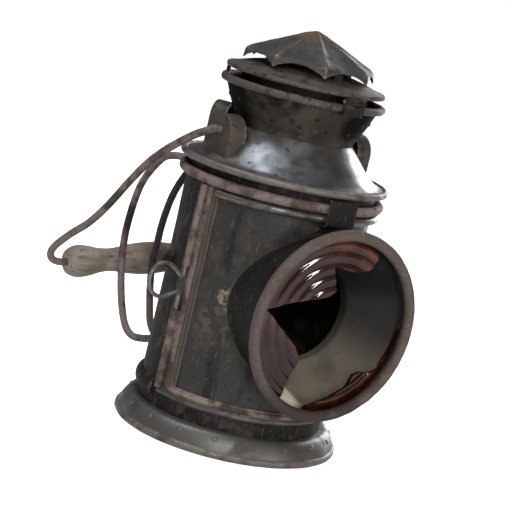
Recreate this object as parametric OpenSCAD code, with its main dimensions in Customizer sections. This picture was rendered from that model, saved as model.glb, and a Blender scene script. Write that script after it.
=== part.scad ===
// Railway hand lamp of sheet steel, with a hinged lens door, a hinged smoke cap,
// a carrying bail with a turned wooden grip and two folding wire hand loops.
// Origin at the centre of the bottom face, +Z up, the lens looks along -Y.

/* [Body] */
// Outer radius of the drum
body_r = 58.5; // [56:0.5:60]
// Thickness of the sheet metal
sheet = 0.9; // [0.8:0.1:1]
// Height of the top bead's centre line
top_bead_z = 160; // [159.5:0.1:160.5]

/* [Base] */
// Outer radius of the foot over its wired edge
foot_r = 71.3; // [70:0.1:72]
// Radius of the foot's wired edge
foot_roll_r = 2.5; // [2.3:0.1:2.6]
// Height of the flat top of the foot skirt
foot_top_z = 14.5; // [14:0.1:15]
// Number of rivets round the foot
foot_rivets = 18; // [12:1:20]

/* [Top] */
// Outer radius of the eave over its wired edge
eave_r = 65.4; // [65.2:0.1:66]
// Outer radius of the neck between shoulder and collar
neck_r = 36.8; // [36.8:0.1:37]
// Height of the neck
neck_z = 193.2; // [193:0.1:193.5]
// Outer radius of the collar over its wired edge
collar_rim_r = 51.4; // [51.2:0.1:51.6]
// Number of rivets in each of the collar's two rows
collar_rivets_per_row = 15; // [10:1:16]

/* [Cap] */
// Outer radius of the cap disc over its wired edge
disc_rim_r = 49.7; // [49.5:0.1:49.9]
// Radius of the umbrella at its points
umbrella_r = 41.9; // [41:0.1:42.5]
// Number of panels in the umbrella
umbrella_panels = 8; // [8:1:8]

/* [Lens hood] */
// Height of the lens axis
lens_z = 94.5; // [94:0.5:95]
// Outer radius of the lens glass
lens_r = 54; // [53:0.5:54]
// Spacing of the rings pressed into the lens
lens_ring_pitch = 5.5; // [5:0.5:7]
// Inner radius of the light opening in the door
light_hole_r = 31; // [29:0.5:32]

/* [Handles] */
// Radius of the bail and hand-loop wire
wire_r = 2.5; // [2.3:0.1:2.5]
// Length of the wooden grip
grip_len = 124; // [118:1:126]
// Height of the bail pivots
bail_z = 189; // [188.5:0.5:189.5]
// Angle of both hand loops to the left of straight back
loop_rest_angle = 22; // [20:1:24]
// Distance of each hand-loop pivot from the middle
loop_x = 12; // [11.5:0.5:12.5]

/* [Lamp inside] */
// Radius of the oil font
font_r = 44; // [40:1:46]
// Height of the oil font
font_h = 43; // [38:1:44]
// Width of the flat wick
wick_w = 11; // [9:0.5:12]

/* [Hidden] */

$fn = 96;
// Clearance in radius between a turning piece and its bearing
fit = 0.06;
// Gap that keeps two sheets of different bodies apart
gap = 0.3;
// Large size for cutting solids
far = 400;
rivet_h = 0.8;

// Body
body_in = body_r - sheet;
sill_z = 27.3;
door_z0 = sill_z + gap;
door_z1 = 156.3;
door_open_z1 = 156.8;
drum_z1 = 168.6;
rear_bead_z = 25;
rear_bead_r = 6.5;
rear_bead_out = 62.4;

// Wired edges, as the centre radius, the centre height and the roll radius
foot_roll = [foot_r - foot_roll_r, foot_roll_r, foot_roll_r];
eave_roll = [eave_r - 2.2, 169.5, 2.2];
collar_roll = [collar_rim_r - 2.4, 218.7, 2.4];
disc_roll = [disc_rim_r - 1.5, 226.7, 1.5];
hood_roll = [55.9, 82.5, 3.4];

// Door hinge
hinge_x = 61.6;
hinge_r = 2.6;
hinge_pin_r = 1.2;
hinge_z = [59, 127];
knuckle = 13;
leaf_h = 32;

// Pull ring in the rolled free edge of the door
ring_az = -84.6;
ring_axis_r = 60.4;
ring_x = ring_axis_r * sin(ring_az);
ring_y = -ring_axis_r * cos(ring_az);
ring_wire_r = 1.35;
roll_r = 2.5;
ring_z1 = 106.5;
tab_z0 = 59.7;
tab_z1 = 77.7;

// Cap hinge
cap_pin_y = -52;
cap_pin_z = 223.3;
cap_pin_r = 1;
cap_knuckle_r = 2;
clip_w = 15;
clip_y = -52.9;

// Hand loops
loop_y = 62;
loop_pins = [[43.5, 50], [141.5, 148.5]];
loop_eye_r = 3.9;

// Bail
ear_x = 54.2;
ear_depth = 11.2;
ear_r = 12.5;
ear_top = 10;
grip_centre = [0, 130, 74.6];
grip_rise = 8;
bail_half = 64;

// Burner
winder_z = 62;
wheel_r = 3;
winder_y = -4.4;
burner_z = sheet + font_h + 7;

// Points of a smooth curve through p, with n steps between neighbours
function curve_at(a, b, c, d, t) =
    0.5 * (2 * b + (c - a) * t + (2 * a - 5 * b + 4 * c - d) * t * t
           + (3 * b - a - 3 * c + d) * t * t * t);
function smooth_path(p, n) =
    let (last = len(p) - 1)
    concat([for (i = [0:last - 1]) for (k = [0:n - 1])
                curve_at(p[max(i - 1, 0)], p[i], p[i + 1], p[min(i + 2, last)], k / n)],
           [p[last]]);
function unit(v) = v / norm(v);
function tangent(p, i) = unit(p[min(i + 1, len(p) - 1)] - p[max(i - 1, 0)]);
function wire_ring(p, i, ref, r, sides) =
    let (t = tangent(p, i), n = unit(ref - (ref * t) * t), b = cross(t, n))
    [for (k = [0:sides - 1]) p[i] + r * (cos(360 * k / sides) * n + sin(360 * k / sides) * b)];

// Round wire along the path p, ref is a direction that the path never runs along
module wire(p, ref, r, sides) {
    rings = len(p);
    points = [for (i = [0:rings - 1]) each wire_ring(p, i, ref, r, sides)];
    walls = [for (i = [0:rings - 2]) for (k = [0:sides - 1])
                let (a = i * sides + k, b = i * sides + (k + 1) % sides)
                each [[a, a + sides, b + sides], [a, b + sides, b]]];
    start = [[for (k = [0:sides - 1]) k]];
    end = [[for (k = [sides - 1:-1:0]) (rings - 1) * sides + k]];
    polyhedron(points, concat(walls, start, end), convexity = 6);
}

// A profile in radius and height, turned from azimuth a0 to a1; azimuth 0 is the front
module band(a0, a1) {
    rotate([0, 0, a0 - 90]) rotate_extrude(angle = a1 - a0) children();
}

// Places a piece at an azimuth, its own front facing outwards along -Y
module at_azimuth(a) {
    rotate([0, 0, a]) children();
}

// Turns a profile in radius and distance in front of the axis about the lens axis
module about_lens() {
    translate([0, 0, lens_z]) rotate([90, 0, 0]) rotate_extrude() children();
}

module rect(x0, x1, y0, y1) {
    translate([x0, y0]) square([x1 - x0, y1 - y0]);
}

module bead_section(roll) {
    translate([roll[0], roll[1]]) circle(r = roll[2]);
}

module ring_wire(roll) {
    rotate_extrude() bead_section(roll);
}

// Foot

module base_plate() {
    color("#4a4641") cylinder(h = sheet, r = foot_roll[0] - foot_roll_r);
}

module base_rim_wire() {
    color("#7a665c") ring_wire(foot_roll);
}

module skirt_outline() {
    polygon([[body_r, foot_top_z], [62.2, foot_top_z], [63.9, 13.9], [65.6, 12.3], [67.2, 10],
             [68.6, 7.3], [69.9, 4], [68.9, 3.6], [67.7, 6.9], [66.3, 9.5], [64.8, 11.6],
             [63.4, 13], [62, foot_top_z - sheet], [body_r, foot_top_z - sheet]]);
}

module base_skirt() {
    color("#4d4944") rotate_extrude() difference() {
        skirt_outline();
        bead_section(foot_roll);
    }
}

// Row of rivet heads at radius r and height z, tilted up to match the surface there
module rivet_row(count, phase, r, z, tilt, head_r) {
    for (i = [0:count - 1])
        at_azimuth(phase + i * 360 / count)
            translate([0, -r, z]) rotate([90 - tilt, 0, 0])
                cylinder(h = rivet_h, r1 = head_r, r2 = 0.6 * head_r);
}

module base_rivets() {
    color("#5a534c") rivet_row(foot_rivets, 0, 66.4, 11.15, 34.82, 1.7);
}

// Drum

module body_drum() {
    color("#3d3b37") difference() {
        rotate_extrude() rect(body_in, body_r, sheet, drum_z1);
        band(-90.2, 90.2) rect(50, 65, sill_z, door_open_z1);
    }
}

module rear_bead() {
    color("#4b4843") band(91, 269) intersection() {
        translate([rear_bead_out - rear_bead_r, rear_bead_z]) circle(r = rear_bead_r);
        rect(body_r, 70, 0, 60);
    }
}

module sill_strip() {
    color("#6b5d54") band(-87, 87) intersection() {
        translate([body_r - 0.9, 25.2]) circle(r = 2.5);
        rect(body_r, 70, 23, sill_z - 0.2);
    }
}

module top_bead() {
    color("#7b655b") rotate_extrude() difference() {
        union() {
            translate([61.6, top_bead_z]) circle(r = 3);
            rect(57, 61, top_bead_z - 1.6, top_bead_z + 1.6);
        }
        rect(50, body_r, 150, 170);
    }
}

// Stop strip behind a vertical edge of the door opening
module jamb(side) {
    color("#33312e") {
        band(side < 0 ? -97 : 90.4, side < 0 ? -90.4 : 97) rect(56.3, body_in, 29, 156);
        band(side < 0 ? -91 : 84.5, side < 0 ? -84.5 : 91) rect(56.5, 57.2, 29.5, 155.5);
    }
}

module jamb_left() { jamb(-1); }

module jamb_right() { jamb(1); }

// Shoulder and collar

// Cone of the shoulder with the flange that plugs into the drum
module shoulder_outline() {
    polygon([[neck_r, neck_z], [50.2, 177.6], [56, 172.6], [59, 171.2], [62.4, 170.9],
             [62.4, 170], [59, 170.2], [body_in, 170.82], [body_in, 163],
             [body_in - sheet, 163], [body_in - sheet, 171.21], [55.6, 171.7],
             [49.5, 176.9], [neck_r - sheet, 192.2], [neck_r - sheet, neck_z]]);
}

module shoulder() {
    color("#55534f") rotate_extrude() difference() {
        shoulder_outline();
        bead_section(eave_roll);
    }
}

module shoulder_filled() {
    rotate_extrude()
        polygon([[0, 150], [62, 150], [62.4, 170.9], [59, 171.2], [56, 172.6], [50.2, 177.6],
                 [neck_r, neck_z], [40.3, 201.5], [0, 201.5]]);
}

module eave_wire() {
    color("#6f6057") ring_wire(eave_roll);
}

function collar_line(s) = [
    [neck_r + s, neck_z], [37.2 + s, 195], [39.2 + s, 199.4], [43.2 + s, 207.1],
    [46.4 + s, 214.4], [47.4 + s, 217.4]];

module collar() {
    color("#3b3934") rotate_extrude() difference() {
        polygon(concat(collar_line(0), [for (i = [5:-1:0]) collar_line(-sheet)[i]]));
        bead_section(collar_roll);
    }
}

module collar_rim_wire() {
    color("#7a675c") ring_wire(collar_roll);
}

module collar_rivets() {
    color("#3a3632") {
        rivet_row(collar_rivets_per_row, 3, 43.945, 208.8, -23.67, 1.5);
        rivet_row(collar_rivets_per_row, 15, 40.551, 202, -27.45, 1.5);
    }
}

module inner_chimney() {
    color("#4a4433") rotate_extrude()
        polygon([[35.1, 184], [35.9, 184], [35.9, 194.5], [39, 224.4], [38.2, 224.4],
                 [35.1, 194.6]]);
}

// Ears

module ear_face(r) {
    circle(r = r);
    translate([-r, -20]) square([2 * r, 20]);
}

// Shallow cup standing on the shoulder, its open side towards the lamp's axis
module ear(z, hole_r) {
    difference() {
        translate([0, -ear_x, z + ear_top - ear_r]) rotate([90, 0, 180]) difference() {
            linear_extrude(ear_depth) ear_face(ear_r);
            translate([0, 0, 1]) linear_extrude(ear_depth) ear_face(ear_r - 1);
            translate([0, ear_r - ear_top, -1]) cylinder(h = 4, r = hole_r);
        }
        shoulder_filled();
    }
}

module left_ear() { color("#46423b") at_azimuth(-90) ear(bail_z, wire_r + fit); }

module right_ear() { color("#46423b") at_azimuth(90) ear(bail_z, wire_r + fit); }

module rear_ear() { color("#5b4f41") at_azimuth(-142) ear(191.5, wire_r + fit); }

// Cap seat and cap hinge on the collar

module cap_rest_tabs() {
    color("#4a463f") difference() {
        union() {
            band(132, 138) rect(47.6, 49.4, 219, 224.8);
            band(-138, -132) rect(47.6, 49.4, 219, 224.8);
        }
        rotate_extrude() bead_section(collar_roll);
    }
}

module cap_knuckles(x0, x1, bore) {
    translate([x0, cap_pin_y, cap_pin_z]) rotate([0, 90, 0]) difference() {
        cylinder(h = x1 - x0, r = cap_knuckle_r);
        translate([0, 0, -1]) cylinder(h = x1 - x0 + 2, r = bore);
    }
}

module cap_hinge_bracket() {
    color("#5f534b") {
        difference() {
            union() {
                translate([-clip_w / 2, clip_y, 215]) cube([clip_w, 1.4, 6]);
                translate([-clip_w / 2, clip_y, 215]) cube([clip_w, 5, 1]);
                for (x = [-clip_w / 2, 3.4])
                    translate([x, clip_y, 220.5]) cube([clip_w / 2 - 3.4, 1.4, 2.1]);
                for (x = [-clip_w / 2, 3.4])
                    translate([x, cap_pin_y, cap_pin_z]) rotate([0, 90, 0])
                        cylinder(h = clip_w / 2 - 3.4, r = cap_knuckle_r);
            }
            translate([-20, cap_pin_y, cap_pin_z]) rotate([0, 90, 0])
                cylinder(h = 40, r = cap_pin_r);
            rotate_extrude() bead_section(collar_roll);
            rotate_extrude() polygon(concat(collar_line(0), [[40, 217.4], [30, neck_z]]));
        }
    }
}

module cap_hinge_pin() {
    color("#6d6259") translate([-clip_w / 2 - 0.6, cap_pin_y, cap_pin_z]) rotate([0, 90, 0])
        cylinder(h = clip_w + 1.2, r = cap_pin_r);
}

// Hand-loop hinges on the back of the drum

module loop_hinge(z0, z1) {
    color("#5d4f47") difference() {
        union() {
            band(165, 195) rect(body_r, body_r + 1, z0, z1);
            for (x = [-loop_x, loop_x])
                translate([x, loop_y, z0]) cylinder(h = z1 - z0, r = loop_eye_r);
        }
        for (x = [-loop_x, loop_x])
            translate([x, loop_y, z0 - 1]) cylinder(h = z1 - z0 + 2, r = wire_r + fit);
        cylinder(h = far, r = body_r);
    }
}

module loop_hinge_lower() { loop_hinge(loop_pins[0][0], loop_pins[0][1]); }

module loop_hinge_upper() { loop_hinge(loop_pins[1][0], loop_pins[1][1]); }

// Door hinge

module hinge_barrel(z0, z1, bore) {
    difference() {
        translate([hinge_x, 0, z0]) cylinder(h = z1 - z0, r = hinge_r);
        translate([hinge_x, 0, z0 - 1]) cylinder(h = z1 - z0 + 2, r = bore);
    }
}

// Leaf of a hinge centred at height z, cut away where the other leaf's knuckles turn
module hinge_leaf(z, a0, a1, cut_z, cut_y) {
    difference() {
        band(a0, a1) rect(body_r, body_r + 1, z - leaf_h / 2, z + leaf_h / 2);
        for (c = cut_z) translate([50, cut_y, c[0]]) cube([20, 5.2, c[1] - c[0]]);
        translate([hinge_x, 0, z - leaf_h]) cylinder(h = 2 * leaf_h, r = hinge_r - 0.2);
    }
}

module case_hinge_leaves() {
    color("#4c463f") for (z = hinge_z) {
        half = knuckle / 2 + 0.2;
        hinge_leaf(z, 90.4, 101, [[z - half, z + half]], -1);
        hinge_barrel(z - leaf_h / 2, z - half, hinge_pin_r);
        hinge_barrel(z + half, z + leaf_h / 2, hinge_pin_r);
    }
}

module door_hinge_leaves() {
    color("#4c463f") for (z = hinge_z) {
        half = knuckle / 2;
        hinge_leaf(z, 79, 89.4, [[z - leaf_h, z - half], [z + half, z + leaf_h]], -4.2);
        hinge_barrel(z - half, z + half, hinge_pin_r + fit);
    }
}

module door_hinge_pins() {
    color("#6d6259") for (z = hinge_z)
        translate([hinge_x, 0, z - leaf_h / 2 - 0.8]) cylinder(h = leaf_h + 1.6, r = hinge_pin_r);
}

module catch_lug() {
    color("#2f2d2a") at_azimuth(-106) difference() {
        translate([-0.8, 0, 0]) rotate([90, 0, 90]) linear_extrude(1.6)
            polygon([[-57, 97], [-57, 106.5], [-61.5, 108.6], [-65.5, 99]]);
        cylinder(h = far, r = body_r);
    }
}

// Oil lamp inside

module oil_font() {
    color("#57503f") difference() {
        union() {
            translate([0, 0, sheet]) cylinder(h = font_h, r = font_r);
            translate([0, 0, sheet + font_h]) cylinder(h = 2, r1 = font_r - 3, r2 = 19);
            translate([-27, -8, sheet + font_h]) cylinder(h = 4, r = 6);
        }
        translate([0, 0, 2 * sheet]) cylinder(h = font_h - 2 * sheet, r = font_r - sheet);
        translate([-27, -8, 30]) cylinder(h = 40, r = 5);
        translate([0, 0, 30]) cylinder(h = 40, r = 12);
    }
}

module filler_cap() {
    color("#7d6a3f") translate([-27, -8, sheet + font_h + 0.9]) difference() {
        translate([0, 0, 1.3]) cylinder(h = 5.2, r = 7.2);
        cylinder(h = 3.1 + 0.3, r = 6 + fit);
    }
}

module burner_collar() {
    color("#8a7442") translate([0, 0, sheet + font_h + 2]) difference() {
        cylinder(h = 5, r = 16);
        translate([0, 0, -1]) cylinder(h = 8, r = 12);
    }
}

module burner_body() {
    color("#8a7442") difference() {
        translate([0, 0, burner_z]) rotate_extrude()
            polygon([[10, 0], [14, 0], [14, 17], [8, 24], [7.2, 24], [13, 16.4], [13, 1.2], [10, 1.2]]);
        translate([0, winder_y, winder_z]) rotate([0, 90, 0]) cylinder(h = 20, r = 1 + fit);
    }
}

module wick_tube() {
    color("#7c6a44") difference() {
        union() {
            translate([-wick_w / 2 - 1.2, -2.4, burner_z + 15]) cube([wick_w + 2.4, 4.8, 11]);
            difference() {
                translate([0, 0, burner_z + 15]) cylinder(h = 1, r = 13);
                translate([0, 0, burner_z]) cylinder(h = 40, r = 4);
            }
        }
        translate([-wick_w / 2 - 0.3, -1.5, burner_z]) cube([wick_w + 0.6, 3, 40]);
    }
}

module wick() {
    color("#cfc6b2") translate([-wick_w / 2, -1.1, 22]) cube([wick_w, 2.2, 56]);
}

// Shaft with two ribbed wheels beside the wick, and the knob outside the burner
module wick_winder() {
    color("#8a7442") translate([0, winder_y, winder_z]) rotate([0, 90, 0]) {
        translate([0, 0, -5]) cylinder(h = 32, r = 1);
        for (x = [-4, 2]) translate([0, 0, x]) cylinder(h = 2, r = wheel_r);
        translate([0, 0, 24]) cylinder(h = 2.4, r = 6.5);
    }
}

module reflector() {
    color("#6c6a66") translate([0, 0, lens_z]) rotate([-90, 0, 0]) rotate_extrude()
        polygon([[0, 42], [12, 41.3], [22, 39.6], [30, 37], [36, 34], [36.6, 34.6], [30.4, 37.8],
                 [22.3, 40.4], [12.1, 42.2], [0, 42.9]]);
}

module reflector_bracket() {
    color("#4c463f") intersection() {
        translate([-7, 42.9, lens_z - 5]) cube([14, 20, 10]);
        cylinder(h = far, r = body_in);
    }
}

// Door

// Solid of the lens hood, filled, in radius and distance in front of the axis
function hood_line(s) = [
    [45 + s, 30], [45.6 + s, 44], [46.8 + s, 54], [49 + s, 63], [52.2 + s, 71],
    [55.6 + s, 77.5], [57.6 + s, 81]];

module door_panel() {
    color("#3d3b37") difference() {
        band(-89.6, 88) rect(body_in, body_r, door_z0, door_z1);
        translate([0, -30, lens_z]) rotate([90, 0, 0]) cylinder(h = 40, r = light_hole_r + 7);
    }
}

module door_top_strip() {
    color("#5f5750") band(-76.2, 84) difference() {
        union() {
            translate([60.9, 153.7]) circle(r = 2.6);
            rect(57, 60.9, 152.3, 155.1);
        }
        rect(50, body_r, 140, 170);
    }
}

module door_bottom_strip() {
    color("#7b6a60") band(-80.4, 84) difference() {
        union() {
            rect(57, body_r + 0.9, door_z0, 32);
            translate([body_r + 0.4, 29.6]) circle(r = 1.6);
        }
        rect(50, body_r, 0, 60);
    }
}

strip_z0 = 28;
strip_z1 = 150.9;
roll_z1 = 155.9;

module door_left_strip() {
    color("#5b534c") {
        band(-80.4, -76.6) rect(body_r, body_r + 0.8, 32.1, roll_z1);
        for (a = [-79.6, -77.4])
            band(a - 0.5, a + 0.5) rect(body_r, body_r + 1.3, 32.1, roll_z1);
    }
}

module door_right_strip() {
    color("#5b534c") {
        band(75, 78.6) rect(body_r, body_r + 0.8, 32.1, strip_z1);
        band(76.3, 77.3) rect(body_r, body_r + 1.3, 32.1, strip_z1);
    }
}

// Plan of a rolled edge of radius r with a strip beside it, lying on the door
module roll_plan(r, strip, a0, a1) {
    difference() {
        union() {
            translate([ring_x, ring_y]) circle(r = r);
            intersection() {
                circle(r = body_r + strip);
                polygon([[0, 0], [80 * sin(a0), -80 * cos(a0)], [80 * sin(a1), -80 * cos(a1)]]);
            }
        }
        circle(r = body_r);
    }
}

module ring_pin_hole(z0, z1) {
    translate([ring_x, ring_y, z0]) cylinder(h = z1 - z0, r = ring_wire_r + fit);
}

// Rolled free edge of the door, left open where the pull ring swings
module door_edge_roll() {
    color("#7d685e") {
        translate([0, 0, strip_z0]) linear_extrude(tab_z0 - strip_z0)
            roll_plan(roll_r, 1.1, -89.4, -80.7);
        difference() {
            translate([0, 0, ring_z1 - 1.5]) linear_extrude(roll_z1 - ring_z1 + 1.5)
                roll_plan(roll_r, 1.1, -89.4, -80.7);
            ring_pin_hole(ring_z1 - 3, ring_z1 + 6);
        }
        band(-82.6, -80.7) rect(body_r, body_r + 0.6, tab_z1, ring_z1 - 1.5);
    }
}

module ring_tab() {
    color("#7d6a60") difference() {
        translate([0, 0, tab_z0]) linear_extrude(tab_z1 - tab_z0)
            roll_plan(roll_r + 0.4, 1.8, -89.5, -80.7);
        ring_pin_hole(70, 82);
    }
}

module front_catch() {
    color("#55504b") {
        band(-9, 9) polygon([[body_r, 147], [body_r + 1, 147], [body_r + 1, 149.2],
            [65, 149.2], [66, 150.2], [66, 165.6], [64.9, 166.2], [64.9, 150.3], [body_r, 150.3]]);
        band(-10.5, 10.5) rect(body_r, body_r + 1, 145.2, 147);
    }
}

module lens_hood() {
    color("#35332f") difference() {
        translate([0, 0, lens_z]) rotate([90, 0, 0]) rotate_extrude() difference() {
            polygon(concat(hood_line(0), [for (i = [6:-1:0]) hood_line(-sheet)[i]]));
            bead_section(hood_roll);
        }
        cylinder(h = far, r = body_r);
    }
}

module hood_rim_wire() {
    color("#6b5a52") about_lens() bead_section(hood_roll);
}

module hood_liner() {
    color("#b3a893") about_lens()
        polygon([[light_hole_r, 46], [light_hole_r + 1, 46], [light_hole_r + 1, 51.5],
                 [51, 75.2], [53.49, 75.2], [53.95, 76.1], [50.4, 76.1], [light_hole_r, 52]]);
}

// Outlines of the glass that is left in the rim, seen from the front: X, and height
// above the lens axis
shard_top = [[-60, 8], [-46.8, 6.8], [-33, 11.5], [-12.5, 15.5], [-5.5, 17], [-1.5, 21],
             [-4, 28], [-7, 35.5], [4.5, 33.7], [12, 33.3], [20, 35], [23.8, 41], [24, 60],
             [-60, 60]];
shard_left = [[-60, 7], [-46.6, 5.6], [-41, 1], [-27, -10.5], [-21, -15], [-17, -21],
              [-17, -25], [-20.7, -32.5], [-22.8, -43], [-24, -60], [-60, -60]];
shard_low = [[60, 6], [52, -4], [50, -13], [45.2, -22.7], [46, -25.2], [39, -28.7],
             [31, -28.4], [26.4, -30.5], [24, -38.2], [13, -45], [6.3, -47.8], [-4, -51.5],
             [-5, -60], [60, -60]];
lens_front = 79.3;
lens_back = 76.3;

module lens_section() {
    polygon(concat([[0, lens_back], [lens_r, lens_back], [lens_r, lens_front]],
        [for (k = [floor(lens_r / lens_ring_pitch):-1:1])
            each [[k * lens_ring_pitch, lens_front - 0.1],
                  [k * lens_ring_pitch - 0.6, lens_front - 1.3]]],
        [[0, lens_front - 0.3]]));
}

module lens_glass() {
    color([0.45, 0.1, 0.05, 0.75]) for (shard = [shard_top, shard_left, shard_low])
        intersection() {
            about_lens() lens_section();
            translate([0, -70, lens_z]) rotate([90, 0, 0]) linear_extrude(20) polygon(shard);
        }
}

// Pull ring, in distance out from its pivot and height
ring_points = [[0, 98], [2.2, 98.8], [5.5, 101.6], [10.5, 104.7], [16, 105.4],
               [20.3, 103.2], [22.9, 98.4], [22.6, 91.6], [19.8, 87.2], [15.4, 84.7],
               [10.4, 84.8], [5.8, 86.6], [2.4, 88], [0, 88.2]];

module pull_ring() {
    color("#8d8a82") {
        wire(smooth_path([for (p = ring_points) [ring_x - p[0], ring_y, p[1]]], 3),
             [0, 1, 0], ring_wire_r, 8);
        translate([ring_x, ring_y, 96.9]) cylinder(h = 12.1, r = ring_wire_r);
        translate([ring_x, ring_y, 72]) cylinder(h = 17.3, r = ring_wire_r);
    }
}

// Cap

module cap_disc() {
    color("#4d4a40") rotate_extrude() difference() {
        polygon([[15, 236.6], [36.4, 231.6], [40.5, 230.3], [45.9, 228.6], [48, 228.1],
                 [48, 227.2], [45.7, 227.7], [40.2, 229.5], [36.1, 230.8], [15, 235.7]]);
        bead_section(disc_roll);
    }
}

module cap_disc_wire() {
    color("#6b5f56") ring_wire(disc_roll);
}

// The umbrella: u runs from 0 at the apex to 1 at the hem, a across one panel
// from -1 at one rib to 1 at the next
umbrella_top = 257.3;
umbrella_eave = 238.9;
umbrella_drop = 5.2;
umbrella_samples = 8;
umbrella_slope = [0.03, 0.25, 0.5, 0.75, 0.96, 0.999, 1];
panel = 360 / umbrella_panels;

function across(k) = 2 * (k % umbrella_samples) / umbrella_samples - 1;
function eave_at(a) = umbrella_r * cos(panel / 2) / cos(a * panel / 2);
function rib(a) = 0.9 * pow(abs(a), 24);
function umbrella_point(u, a, inset) =
    let (on_top = u < 0.9999,
         r = on_top ? u * (eave_at(a) - 0.3) : eave_at(a),
         z = on_top ? umbrella_top - (umbrella_top - umbrella_eave) * u + rib(a) * min(1, 8 * u)
                    : umbrella_eave - 1 - umbrella_drop * pow(abs(a), 2.2))
    [r - inset * (on_top ? 0.3 * u + 0.6 * pow(u, 12) : 1), z - inset * (on_top ? 1 : 0)];
function umbrella_ring(u, inset) =
    [for (k = [0:umbrella_panels * umbrella_samples - 1])
        let (a = across(k), q = umbrella_point(u, a, inset),
             t = -90 + panel / 2 + (k / umbrella_samples) * panel)
        [q[0] * cos(t), q[0] * sin(t), q[1]]];

module cap_umbrella() {
    sides = umbrella_panels * umbrella_samples;
    outer = [for (u = umbrella_slope) each umbrella_ring(u, 0)];
    inner = [for (u = umbrella_slope) each umbrella_ring(u, 0.8)];
    top = [[0, 0, umbrella_top], [0, 0, umbrella_top - 0.8]];
    rows = len(umbrella_slope);
    half = rows * sides;
    shell = [for (i = [0:rows - 2]) for (k = [0:sides - 1])
        let (a = i * sides + k, b = i * sides + (k + 1) % sides)
        each [[a, b + sides, b], [a, a + sides, b + sides],
              [half + a, half + b, half + b + sides], [half + a, half + b + sides, half + a + sides]]];
    hem = [for (k = [0:sides - 1])
        let (a = (rows - 1) * sides + k, b = (rows - 1) * sides + (k + 1) % sides)
        each [[a, half + a, half + b], [a, half + b, b]]];
    crown = [for (k = [0:sides - 1])
        let (b = (k + 1) % sides)
        each [[2 * half, k, b], [2 * half + 1, half + b, half + k]]];
    color("#504b45") polyhedron(concat(outer, inner, top), concat(shell, hem, crown),
                                convexity = 8);
}

// Upright strips between the disc and the underside of the umbrella
module cap_stays() {
    color("#45413a") difference() {
        for (a = [0, 90, 180, 270]) at_azimuth(a)
            translate([3, 0, 0]) rotate([0, -90, 0]) linear_extrude(6)
                polygon([[230, -31.2], [241.4, -31.2], [241.8, -30.4], [230, -30.4]]);
        rotate_extrude() polygon([[0, 200], [36.4, 200], [36.4, 231.6], [15, 236.6], [0, 236.6]]);
    }
}

module cap_hinge_leaf() {
    color("#5f534b") {
        difference() {
            union() {
                translate([-3.1, cap_pin_y, 224.6]) cube([6.2, 8.5, 1.1]);
                cap_knuckles(-3.1, 3.1, 0.5);
            }
            translate([-20, cap_pin_y, cap_pin_z]) rotate([0, 90, 0])
                cylinder(h = 40, r = cap_pin_r + fit);
            rotate_extrude() bead_section(disc_roll);
        }
    }
}

// Handles

// Left arm of the bail from the ear to the grip; the right arm is its mirror image,
// lifted step by step because the bail is bent and its grip slants
bail_arm = [[-55.5, 0, 189], [-58, 1.2, 188.4], [-60.6, 6, 185.4], [-63, 14, 180.6],
            [-64.5, 33, 168.6], [-65.6, 50, 155.5], [-66.5, 66, 138.9], [-68.2, 83, 117.9],
            [-70, 98, 102.3], [-71.8, 114, 90.2], [-73.2, 127, 79.1], [-73.6, 131.8, 72.6],
            [-72, 132, 68.1], [-68, 130.6, 66.5], [-63.4, 130, 66.7]];

function lift(i) = 2 * grip_rise * pow(i / (len(bail_arm) - 1), 1.5);
function right_arm() = [for (i = [0:len(bail_arm) - 1])
    [-bail_arm[i][0], bail_arm[i][1], bail_arm[i][2] + lift(i)]];

grip_tilt = atan(grip_rise / bail_half);

module along_grip() {
    translate(grip_centre) rotate([0, 90 - grip_tilt, 0]) children();
}

module bail_pin(side) {
    translate([side * 48, 0, bail_z]) rotate([0, side * 90, 0]) {
        cylinder(h = 8.5, r = wire_r);
        cylinder(h = 1.6, r = 3.9);
    }
}

module bail_wire() {
    color("#6f625b") {
        wire(smooth_path(bail_arm, 3), [0, 0.65, 0.76], wire_r, 10);
        wire(smooth_path(right_arm(), 3), [0, 0.65, 0.76], wire_r, 10);
        along_grip() cylinder(h = 2 * bail_half, r = wire_r, center = true);
        bail_pin(-1);
        bail_pin(1);
    }
}

// Turned profile of the grip: thick in the middle and at both ends, waisted between
grip_line = [[0.5, 6.6], [0.49, 8.6], [0.46, 10.2], [0.42, 10.9], [0.37, 10.2], [0.3, 8.4],
             [0.22, 8.1], [0.12, 10], [0.04, 11]];

module grip() {
    along_grip() color("#a0988a") rotate_extrude() difference() {
        polygon(concat([[0, -grip_len / 2]],
            [for (p = grip_line) [p[1], -p[0] * grip_len]],
            [for (i = [len(grip_line) - 1:-1:0]) [grip_line[i][1], grip_line[i][0] * grip_len]],
            [[0, grip_len / 2]]));
        rect(-1, wire_r + 0.08, -far, far);
    }
}

// Hand loops, in distance from their pivots and height; the right one is bent a
// little out of shape
left_loop_points = [[0, 151], [0.9, 153], [3.6, 154.1], [12, 154.8], [22.7, 155.2], [31, 154],
                    [37.2, 150.9], [43, 143.7], [48.2, 134.6], [51.4, 125], [53.4, 112],
                    [54.3, 97], [53.6, 85], [51.8, 74], [49.3, 62.5], [45.4, 50],
                    [40.8, 39.4], [36, 33], [30, 30.2], [22, 31.4], [14, 34], [4, 37.4],
                    [1, 39], [0, 41.3]];
right_loop_points = [[0, 151], [0.9, 153], [3.6, 154.1], [11, 154.8], [20, 155], [28, 153.6],
                     [34, 150.3], [39.4, 144.6], [45, 133.4], [48.4, 123.5], [50.6, 111.8],
                     [51.7, 100], [51.8, 89.5], [51.9, 79.2], [51.3, 68.9], [49.3, 58.1],
                     [46.8, 48.3], [43.6, 38], [38.6, 31.6], [31, 29.6], [22, 31.4],
                     [14, 34], [4, 37.4], [1, 39], [0, 41.3]];

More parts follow.
